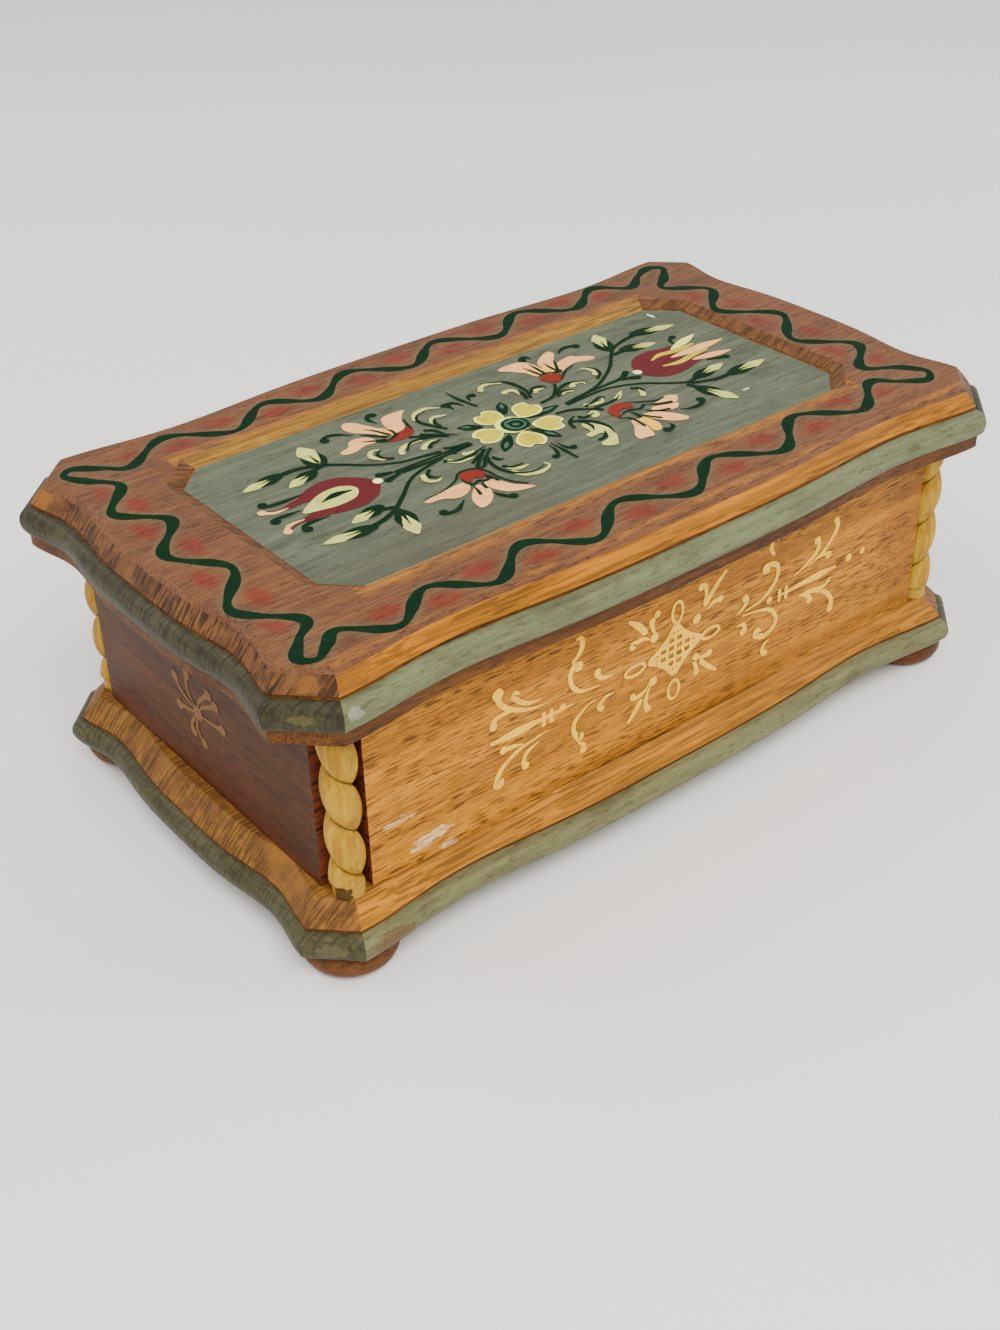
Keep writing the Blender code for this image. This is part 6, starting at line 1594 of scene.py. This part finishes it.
@dataclass
class Body:
    """Four panels round the compartment, notched at the corners, and the rope-twist columns in there."""

    bottom: float = 17.0
    top: float = 58.0
    front_y: float = 48.2
    front_x: float = 78.6
    side_x: float = 86.3
    side_y: float = 41.9
    thickness: float = 6.0
    column_x: float = 82.7
    column_y: float = 46.0
    column_radius: float = 3.8
    groove_radius: float = 2.1
    end_radius: float = 3.2
    end_length: float = 2.6
    pitch: float = 11.0
    column_bottom: float = 17.02
    column_height: float = 40.96

    def panel(self, name: str, low: tuple[float, float, float], high: tuple[float, float, float],
              skins: list[str], looks: Finishes, node: str) -> None:
        """One panel with its own finish on each side, and ridged ends like split end grain."""
        shell = Shell()
        order = sorted(set(skins))
        shell.box(low, high, [order.index(s) for s in skins])
        dress(shell.build(name, [looks[s] for s in order], None), "box", "body_wood", node)

    def panels(self, looks: Finishes) -> None:
        """The four panels."""
        t = self.thickness
        for sign, name in ((-1, "front_panel"), (1, "back_panel")):
            y = sorted((sign * self.front_y, sign * (self.front_y - t)))
            skins = ["notch", "notch", "front" if sign < 0 else "inner", "inner" if sign < 0 else "front",
                     "inner", "inner"]
            self.panel(f"{name}_stained", (-self.front_x, y[0], self.bottom),
                       (self.front_x, y[1], self.top),
                       skins, looks, name)
        for sign, name in ((-1, "left_panel"), (1, "right_panel")):
            x = sorted((sign * self.side_x, sign * (self.side_x - t)))
            # The outer face of each end panel takes the darker side oak: painted shade of the box's shaded ends.
            skins = ["side" if sign < 0 else "inner", "inner" if sign < 0 else "side", "notch", "notch",
                     "inner", "inner"]
            self.panel(f"{name}_stained", (x[0], -self.side_y, self.bottom), (x[1], self.side_y, self.top),
                       skins, looks, name)

    def twist_tree(self) -> bpy.types.NodeTree:
        """Geometry Nodes tree of a rope-twist column: a sheet of rows is wound round an axis and closed."""
        tree = PaintKit.new_tree("rope-twist column", {
            "Radius": self.column_radius, "Groove": self.groove_radius, "End Radius": self.end_radius,
            "End Length": self.end_length, "Pitch": self.pitch, "Height": self.column_height, "Hand": 1.0,
            "X": 0.0, "Y": 0.0, "Z": self.column_bottom})
        start = add_node(tree, "NodeGroupInput").outputs

        def calc(operation: str, first: object, second: object = 0.0, third: object = 0.0) -> object:
            """One arithmetic step."""
            return add_node(tree, "ShaderNodeMath", {0: first, 1: second, 2: third},
                            operation=operation).outputs[0]

        around, rows = 57, 150
        sheet = add_node(tree, "GeometryNodeMeshGrid",
                         {"Size X": 1.0, "Size Y": 1.0, "Vertices X": around, "Vertices Y": rows})
        place = add_node(tree, "ShaderNodeSeparateXYZ",
                         {0: add_node(tree, "GeometryNodeInputPosition").outputs[0]})
        u = calc("ADD", place.outputs["X"], 0.5)
        v = calc("ADD", place.outputs["Y"], 0.5)
        spare = calc("DIVIDE", start["Height"], rows - 3.0)
        reach = calc("SUBTRACT", calc("MULTIPLY", v, calc("MULTIPLY_ADD", spare, 2.0, start["Height"])),
                     spare)
        height = calc("MINIMUM", calc("MAXIMUM", reach, 0.0), start["Height"])
        skin = calc("MULTIPLY", calc("GREATER_THAN", v, 0.5 / rows), calc("LESS_THAN", v, 1.0 - 0.5 / rows))
        twisting = calc("SUBTRACT", start["Height"], calc("MULTIPLY", start["End Length"], 2.0))
        run = calc("MINIMUM", calc("MAXIMUM", calc("SUBTRACT", height, start["End Length"]), 0.0), twisting)
        turn = calc("MULTIPLY", calc("MULTIPLY", calc("DIVIDE", run, start["Pitch"]), math.tau),
                    start["Hand"])
        angle = calc("MULTIPLY", u, math.tau)
        swell = calc("POWER", calc("ABSOLUTE", calc("SINE", calc("MULTIPLY", angle, 0.5))), 0.62)
        rope = calc("MULTIPLY_ADD", calc("SUBTRACT", start["Radius"], start["Groove"]), swell,
                    start["Groove"])
        nearest = calc("MINIMUM", height, calc("SUBTRACT", start["Height"], height))
        inside = add_node(tree, "ShaderNodeMapRange",
                          {"Value": nearest, "From Min": calc("MULTIPLY", start["End Length"], 0.9),
                           "From Max": calc("MULTIPLY", start["End Length"], 1.35)},
                          interpolation_type="SMOOTHSTEP").outputs[0]
        full = calc("MULTIPLY_ADD", calc("SUBTRACT", rope, start["End Radius"]), inside,
                    start["End Radius"])
        radius = calc("MULTIPLY", full, skin)
        whole = calc("ADD", angle, turn)
        x = calc("MULTIPLY_ADD", radius, calc("COSINE", whole), start["X"])
        y = calc("MULTIPLY_ADD", radius, calc("SINE", whole), start["Y"])
        z = calc("ADD", height, start["Z"])
        metres = add_node(tree, "ShaderNodeVectorMath",
                          {0: add_node(tree, "ShaderNodeCombineXYZ", {0: x, 1: y, 2: z}).outputs[0],
                           "Scale": MM},
                          operation="SCALE")
        stored = add_node(tree, "GeometryNodeStoreNamedAttribute",
                          {"Geometry": sheet.outputs["Mesh"], "Name": "groove",
                           "Value": calc("MAXIMUM", swell, calc("SUBTRACT", 1.0, inside))},
                          data_type="FLOAT")
        wound = add_node(tree, "GeometryNodeSetPosition",
                         {0: stored.outputs[0], "Position": metres.outputs[0]})
        closed = add_node(tree, "GeometryNodeMergeByDistance",
                          {0: wound.outputs[0], "Distance": 0.002 * MM})
        even = add_node(tree, "GeometryNodeSetShadeSmooth", {0: closed.outputs[0], "Shade Smooth": True})
        PaintKit.close_tree(tree, even.outputs[0], start["Material"])
        return tree

    def columns(self, looks: Finishes, kit: PaintKit, names: dict[tuple[int, int], str]) -> None:
        """Wind the four columns, mirrored across the box."""
        tree = self.twist_tree()
        for (sx, sy), name in names.items():
            made = kit.evaluate(bpy.data.meshes.new("empty"), tree, {
                "Material": looks["twist"], "Hand": float(-sx * sy),
                "X": sx * self.column_x, "Y": sy * self.column_y})
            made.name = f"{name}_turned"
            piece = bpy.data.objects.new(f"{name}_turned", made)
            bpy.context.scene.collection.objects.link(piece)
            dress(piece, "box", "column_wood", name)


def paint_front(art: Artwork) -> None:
    """Paint the front panel: a lattice diamond with scrolls, and a spray of scrolls to each side."""
    thin = (0.75, 0.55, 0.18)
    for path, head in (
            ([(-45.3, 48.4), (-45.7, 46.5), (-45.1, 44.3), (-42.3, 41.8), (-37.9, 39.8), (-32.9, 39.1)],
             1.8),
            ([(-40.4, 45.4), (-41.5, 44.4), (-40.1, 42.6), (-37.9, 41.3), (-34.8, 40.8)], 1.4),
            ([(-46.3, 39.1), (-47, 39.8), (-46.8, 41.2), (-45.1, 41.7), (-41.8, 41.5), (-39.6, 41)], 1.3),
            ([(-45.7, 32.9), (-43, 32.7), (-39.6, 32)], 1.2),
            ([(-44.8, 24.3), (-46.5, 25.7), (-45.7, 27.9), (-43.4, 29.8), (-39.6, 31.3), (-33.2, 32.2)],
             1.8),
            ([(-38.4, 25.4), (-39.6, 27.1), (-38.7, 29.3), (-35.4, 30.7)], 1.2),
            ([(-24, 43.2), (-25.9, 44.8), (-27.1, 42.9), (-26.5, 39.8), (-24, 37.6), (-19, 36.8)], 1.6),
            ([(-19.3, 41.2), (-19.8, 39.8), (-18.2, 38.2), (-15.4, 37.9)], 1.2),
            ([(-23.7, 27.1), (-24.8, 26.2), (-26.2, 28.4), (-25.9, 30.7), (-23.7, 32.6), (-20.4, 34)], 1.4),
            ([(-23.9, 21.5), (-23.4, 23.4), (-25.1, 25.1)], 1.2),
        ([(-17.9, 30.1), (-19.3, 31.5), (-17.6, 32.9), (-15.1, 33.3)], 1.0),
            ([(-4.6, 47.1), (-4.8, 45.8), (-4.6, 44.6), (-3.7, 42.3)], 1.2),
        ([(-9.8, 41.2), (-9.8, 42.6), (-7.3, 42.9), (-5.1, 41.8)], 1.4),
            ([(8.3, 48.4), (10.3, 48.7), (10.8, 46.2), (10, 44.3)], 1.2),
        ([(16.1, 43.2), (13.3, 43.4), (11.1, 42.3)], 1.1),
            ([(13.6, 30.7), (10.6, 30.4), (8.3, 31.5)], 1.2), ([(8.9, 26.2), (8.6, 29), (7.2, 31.2)], 1.1),
            ([(-10.4, 30.1), (-9, 28.7), (-6.2, 29.3), (-5.1, 30.9)], 1.1),
        ([(-4.6, 23.4), (-5.9, 25.1), (-5.7, 27.9), (-4.6, 30.1)], 1.2),
            ([(28.3, 44), (30, 45.7), (32.5, 44.6), (32.8, 41.8), (31.1, 39.3), (27.8, 37.3), (23.1, 36.8)],
             1.7),
            ([(22.2, 40.7), (23.6, 39.3), (22.2, 37.6), (20.3, 36.9)], 1.2),
            ([(28.1, 30.4), (27.5, 28.4), (30.3, 27.3), (33.1, 29), (33.1, 31.2), (31.1, 33.7),
              (26.7, 35.1), (22.2, 35.8)], 1.7),
            ([(21.9, 31.2), (23.3, 31.8), (22.8, 33.4), (20.6, 33.7)], 1.3),
        ([(31.4, 22.1), (29.7, 22.9), (30, 24.8), (31.7, 25.7)], 1.1),
            ([(44.4, 46.5), (45.8, 45.1), (45.3, 42.9), (42.2, 40.9), (38.3, 39.4)], 1.3),
            ([(50.7, 49.6), (51.7, 47.3), (50.3, 44.6), (47.2, 41.8), (42.8, 40.1)], 1.1),
            ([(50.3, 39.8), (48.3, 41.2), (46.1, 40.9)], 1.3),
        ([(44.4, 29.6), (43.9, 31.8), (41.1, 33.2)], 1.2),
            ([(50.8, 24.8), (51.9, 25.7), (51.7, 27.9), (49.4, 30.7), (46.1, 32.3), (41, 33.4)], 1.3)):
        art.stroke("straw", 1, path, thin, head=head * 0.78)
    for path, widths in (
            ([(-48, 35.9), (-44, 35.8), (-35, 35.7), (-26, 35.5)], (0.5, 1.0, 0.5, 0.2)),
            ([(-34.2, 37.3), (-34.2, 33.5)], (0.5, 0.5)), ([(-32.2, 37.3), (-32.2, 33.5)], (0.5, 0.5)),
            ([(-25.7, 50.9), (-24.3, 50.7), (-24, 48.7), (-25.1, 46.8), (-26.8, 45.7)],
             (0.3, 0.7, 0.6, 0.4)),
            ([(-11.5, 49), (-8.6, 46.6), (-6.2, 43.7)], (0.4, 0.8, 0.7)),
        ([(16.7, 50.1), (13.4, 47), (10.3, 43.4)], (0.4, 0.7, 0.7)),
            ([(15.3, 24.8), (12.6, 27), (9.7, 29.8)], (0.4, 0.6, 0.6)),
        ([(-11.2, 22.9), (-9.2, 25), (-7.1, 27.6)], (0.4, 0.7, 0.6)),
            ([(32.5, 50.9), (31.4, 52.1), (30.3, 50.7), (30.3, 49.3), (31.4, 47.6)], (0.3, 0.6, 0.6, 0.4)),
            ([(33.3, 36.1), (38, 36.2), (44.4, 36.3), (52.5, 36.3)], (0.2, 0.6, 0.95, 0.35)),
            ([(34, 38), (34, 34.4)], (0.5, 0.5)), ([(36.1, 38), (36.1, 34.4)], (0.5, 0.5)),
            ([(40.3, 33.4), (44.4, 33.2), (48.9, 32.6), (50.8, 34)], (0.2, 0.4, 0.4, 0.5))):
        art.stroke("straw", 1, path, widths)
    for centre, radius in (((-29.2, 36.1), 0.9), (((-4.0), 41.8), 1.2), ((8.3, 41.2), 1.2),
                           ((-4, 30.7), 1.2), ((8.4, 31.2), 1.1),
                           ((30.8, 36.3), 0.9), ((56.6, 36.9), 1.0), ((61.2, 36.9), 0.85),
                           ((-3.4, 47.4), 0.9)):
        art.dot("straw", 1, centre, radius)
    for centre, rx, rz in (((-9.3, 35.9), 2.8, 1.2), ((2.5, 45.4), 1.5, 2.6), ((2.2, 25.7), 1.6, 2.4),
                           ((12.7, 35.8), 2.6, 1.2)):
        ring = [(centre[0] + rx * math.cos(k * math.tau / 10), centre[1] + rz * math.sin(k * math.tau / 10))
                for k in range(10)]
        art.stroke("straw", 1, ring, (0.38,), closed=True)
    cx, cz, rx, rz = 2.2, 36.0, 7.7, 6.4
    corners = [(cx - rx, cz), (cx, cz + rz), (cx + rx, cz), (cx, cz - rz)]
    for a, b in zip(corners, [*corners[1:], corners[0]]):
        middle = ((a[0] + b[0]) / 2 * 0.86 + cx * 0.14, (a[1] + b[1]) / 2 * 0.86 + cz * 0.14)
        art.stroke("straw", 1, [a, middle, b], (0.6, 0.6))
    for k in (-2, -1, 0, 1, 2):
        reach = 1 - abs(k) * 0.32
        x = cx + k * 2.3
        art.stroke("straw", 2, [(x, cz - rz * reach * 0.92), (x, cz + rz * reach * 0.92)], (0.42, 0.42))
        z = cz + k * 1.95
        art.stroke("straw", 3, [(cx - rx * reach * 0.92, z), (cx + rx * reach * 0.92, z)], (0.42, 0.42))


def paint_left(art: Artwork) -> None:
    """Paint the left panel's motif, worn to a trace."""
    for tip in ((7.1, 42.4), (-7.9, 44.3), (7.4, 34), (0.9, 28.6), (-3.3, 27.8), (-12.3, 37.1),
                (-10.4, 42.4), (1, 45.6)):
        middle = ((tip[0] + 0.2) / 2 + 1.2, (tip[1] + 35) / 2)
        art.stroke("faded", 1, [tip, middle, (-1.5, 36.0)], (0.7, 0.5, 0.2), head=1.3)
    art.dot("faded", 1, (-1.5, 36.0), 1.8)


@dataclass
class Movement:
    """Finishes of the CAD pieces that are kept, and the fine pins of the music cylinder."""

    axis_x: float = -50.0
    axis_z: float = 26.5
    start: float = 1.2
    end: float = 20.4
    radius: float = 6.0
    pin_height: float = 0.35
    pin_radius: float = 0.14
    rows: int = 18
    per_row: int = 16
    slots: dict[str, str] = field(default_factory=lambda: {
        "lid_wood": "slope", "body_wood": "front", "base_wood": "base_slope", "post_wood": "post",
        "column_wood": "twist", "foot_wood": "foot", "inner_wood": "inner", "felt": "felt",
        "clear_cover": "clear",
        "hinge_brass": "hinge", "movement_brass": "brass", "steel": "steel", "key_nickel": "nickel",
        "dark_plastic": "plastic"})

    def dress_nodes(self, frame: dict, looks: Finishes) -> None:
        """Give each CAD node that is still shown the procedural finish of its slot."""
        for name, node in frame["nodes"].items():
            slot = node.data.materials[0].name.split(".")[0] if node.data.materials else "steel"
            key = self.slots.get(slot)
            if key is None:
                LOG.warning("%s has the unknown slot %s", name, slot)
                key = "steel"
            node.data.materials.clear()
            node.data.materials.append(looks[key])
            LOG.info("%s keeps its CAD shape in %s", name, key)

    def pins(self, looks: Finishes, kit: PaintKit) -> None:
        """Set the tune's pins in the cylinder: rows of small studs, some left out at random."""
        tree = PaintKit.new_tree("cylinder pins",
                                 {"Pin Radius": self.pin_radius * MM, "Pin Height": self.pin_height * MM})
        start = add_node(tree, "NodeGroupInput").outputs
        stud = add_node(tree, "GeometryNodeMeshCylinder",
                        {"Vertices": 5, "Radius": start["Pin Radius"], "Depth": start["Pin Height"]})
        normal = add_node(tree, "GeometryNodeInputNamedAttribute", {"Name": "outward"},
                          data_type="FLOAT_VECTOR")
        turn = add_node(tree, "FunctionNodeAlignRotationToVector", {"Vector": normal.outputs[0]}, axis="Z")
        chance = add_node(tree, "FunctionNodeRandomValue", {"Probability": 0.45, "Seed": 7},
                          data_type="BOOLEAN")
        kept = [s for s in chance.outputs if s.enabled and s.type == "BOOLEAN"][0]
        spread = add_node(tree, "GeometryNodeInstanceOnPoints",
                          {"Points": start["Geometry"], "Selection": kept, "Instance": stud.outputs["Mesh"],
                           "Rotation": turn.outputs[0]})
        PaintKit.close_tree(tree, spread.outputs[0], start["Material"])
        points, outward = [], []
        reach = self.radius + self.pin_height * 0.4
        for row in range(self.rows):
            y = self.start + (self.end - self.start) * row / (self.rows - 1)
            for k in range(self.per_row):
                angle = math.tau * (k + 0.37 * row) / self.per_row
                out = (math.cos(angle), 0.0, math.sin(angle))
                points.append(((self.axis_x + reach * out[0]) * MM, y * MM,
                               (self.axis_z + reach * out[2]) * MM))
                outward += out
        mesh = bpy.data.meshes.new("pin places")
        mesh.from_pydata(points, [], [])
        mesh.attributes.new("outward", "FLOAT_VECTOR", "POINT").data.foreach_set("vector", outward)
        made = kit.evaluate(mesh, tree, {"Material": looks["steel"]})
        piece = bpy.data.objects.new("cylinder_pins", made)
        bpy.context.scene.collection.objects.link(piece)
        dress(piece, "cylinder", "steel")


@dataclass
class Studio:
    """Pale floor, soft lights and the camera at the photograph's angle."""

    camera_place: tuple[float, float, float] = (-211.105, -258.06, 235.677)
    right: tuple[float, float, float] = (0.77689976, -0.62925723, -0.02149659)
    up: tuple[float, float, float] = (0.36779485, 0.42585002, 0.82666723)
    forward: tuple[float, float, float] = (0.511032, 0.6501439, -0.56228035)
    lens: float = 45.9126
    floor_size: float = 6000.0

    def build(self) -> None:
        """Make the floor, the lights, the sky and the camera."""
        pale = Pigment("pale matt paper", 0.9)
        tone = pale.noise((400.0, 400.0, 400.0), 1.0)
        look = pale.finish(pale.blend(pale.step(tone, 0.3, 0.7), linear("#F4F4F3"), linear("#F8F8F7")))
        shell = Shell()
        half = self.floor_size / 2
        ring = shell.ring([(-half, -half, 0.0), (half, -half, 0.0), (half, half, 0.0), (-half, half, 0.0)])
        shell.cap(ring, 0)
        floor = shell.build("studio_floor", [look], None)
        world = bpy.context.scene.world or bpy.data.worlds.new("soft sky")
        bpy.context.scene.world = world
        world.use_nodes = True
        sky = world.node_tree.nodes["Background"]
        sky.inputs["Color"].default_value = linear("#FFFFFF")
        sky.inputs["Strength"].default_value = 0.85
        for name, place, size, power, tint in (
                ("key", (-250.0, -520.0, 760.0), 520.0, 9.0, "#FFF6EA"),
                ("fill", (620.0, -260.0, 520.0), 600.0, 3.2, "#F2F6FF"),
                ("rim", (-380.0, 520.0, 600.0), 500.0, 3.0, "#FFFFFF")):
            self._light(name, place, size, power, tint)
        lens = bpy.data.cameras.new("photograph")
        lens.sensor_fit = "VERTICAL"
        lens.sensor_height = 36.0
        lens.lens = self.lens
        lens.clip_start = 0.01
        lens.clip_end = 20.0
        camera = bpy.data.objects.new("photograph", lens)
        bpy.context.scene.collection.objects.link(camera)
        axes = Matrix((self.right, self.up, [-c for c in self.forward])).transposed()
        camera.matrix_world = Matrix.Translation(Vector(self.camera_place) * MM) @ axes.to_4x4()
        bpy.context.scene.camera = camera

    @staticmethod
    def _light(name: str, place: tuple[float, float, float], size: float, power: float, tint: str) -> None:
        """One soft area light that looks at the box."""
        lamp = bpy.data.lights.new(name, "AREA")
        lamp.shape = "SQUARE"
        lamp.size = size * MM
        lamp.energy = power
        lamp.color = linear(tint)[:3]
        holder = bpy.data.objects.new(name, lamp)
        bpy.context.scene.collection.objects.link(holder)
        holder.location = Vector(place) * MM
        aim = Vector((0.0, 0.0, 40.0)) - Vector(place)
        holder.rotation_euler = aim.to_track_quat("-Z", "Y").to_euler()


# How the two painted drawings lie on their panels: x = a x + b y + c, y = d x + e y + f, in mm.
FRONT_FIT = (0.992, 0.0, -1.57, 0.011, 0.9835, 1.9)
LEFT_FIT = (-1.016, 0.0, -1.63, 0.0, 0.991, -0.34)


def corner_names(prefix: str, nodes: dict) -> dict[tuple[int, int], str]:
    """The CAD nodes of one kind, keyed by the signs of their corner."""
    found = {}
    for name in nodes:
        if name.startswith(prefix):
            low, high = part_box(name)
            middle = (low + high) / 2
            found[(1 if middle.x > 0 else -1, 1 if middle.y > 0 else -1)] = name
    return found


def main() -> None:
    """Build the box's looks, sub-assembly by sub-assembly."""
    logging.basicConfig(level=logging.INFO, format="%(name)s: %(message)s")
    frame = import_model()
    looks = Finishes()
    kit = PaintKit()
    Studio().build()
    movement = Movement()
    movement.dress_nodes(frame, looks)
    Lid().build(looks, kit)
    base = Base()
    base.build(looks)
    base.feet(looks, corner_names("foot", frame["nodes"]))
    body = Body()
    body.panels(looks)
    body.columns(looks, kit, corner_names("twist_column", frame["nodes"]))
    face = Matrix(((1, 0, 0, 0), (0, 0, -1, -body.front_y), (0, 1, 0, 0), (0, 0, 0, 1)))
    front = Artwork("front_scrolls", kit, face, FRONT_FIT)
    paint_front(front)
    front.build(looks, "box", "body_wood")
    face = Matrix(((0, 0, -1, -body.side_x), (-1, 0, 0, 0), (0, 1, 0, 0), (0, 0, 0, 1)))
    left = Artwork("left_motif", kit, face, LEFT_FIT)
    paint_left(left)
    left.build(looks, "box", "body_wood")
    movement.pins(looks, kit)


if __name__ == "__main__":
    main()
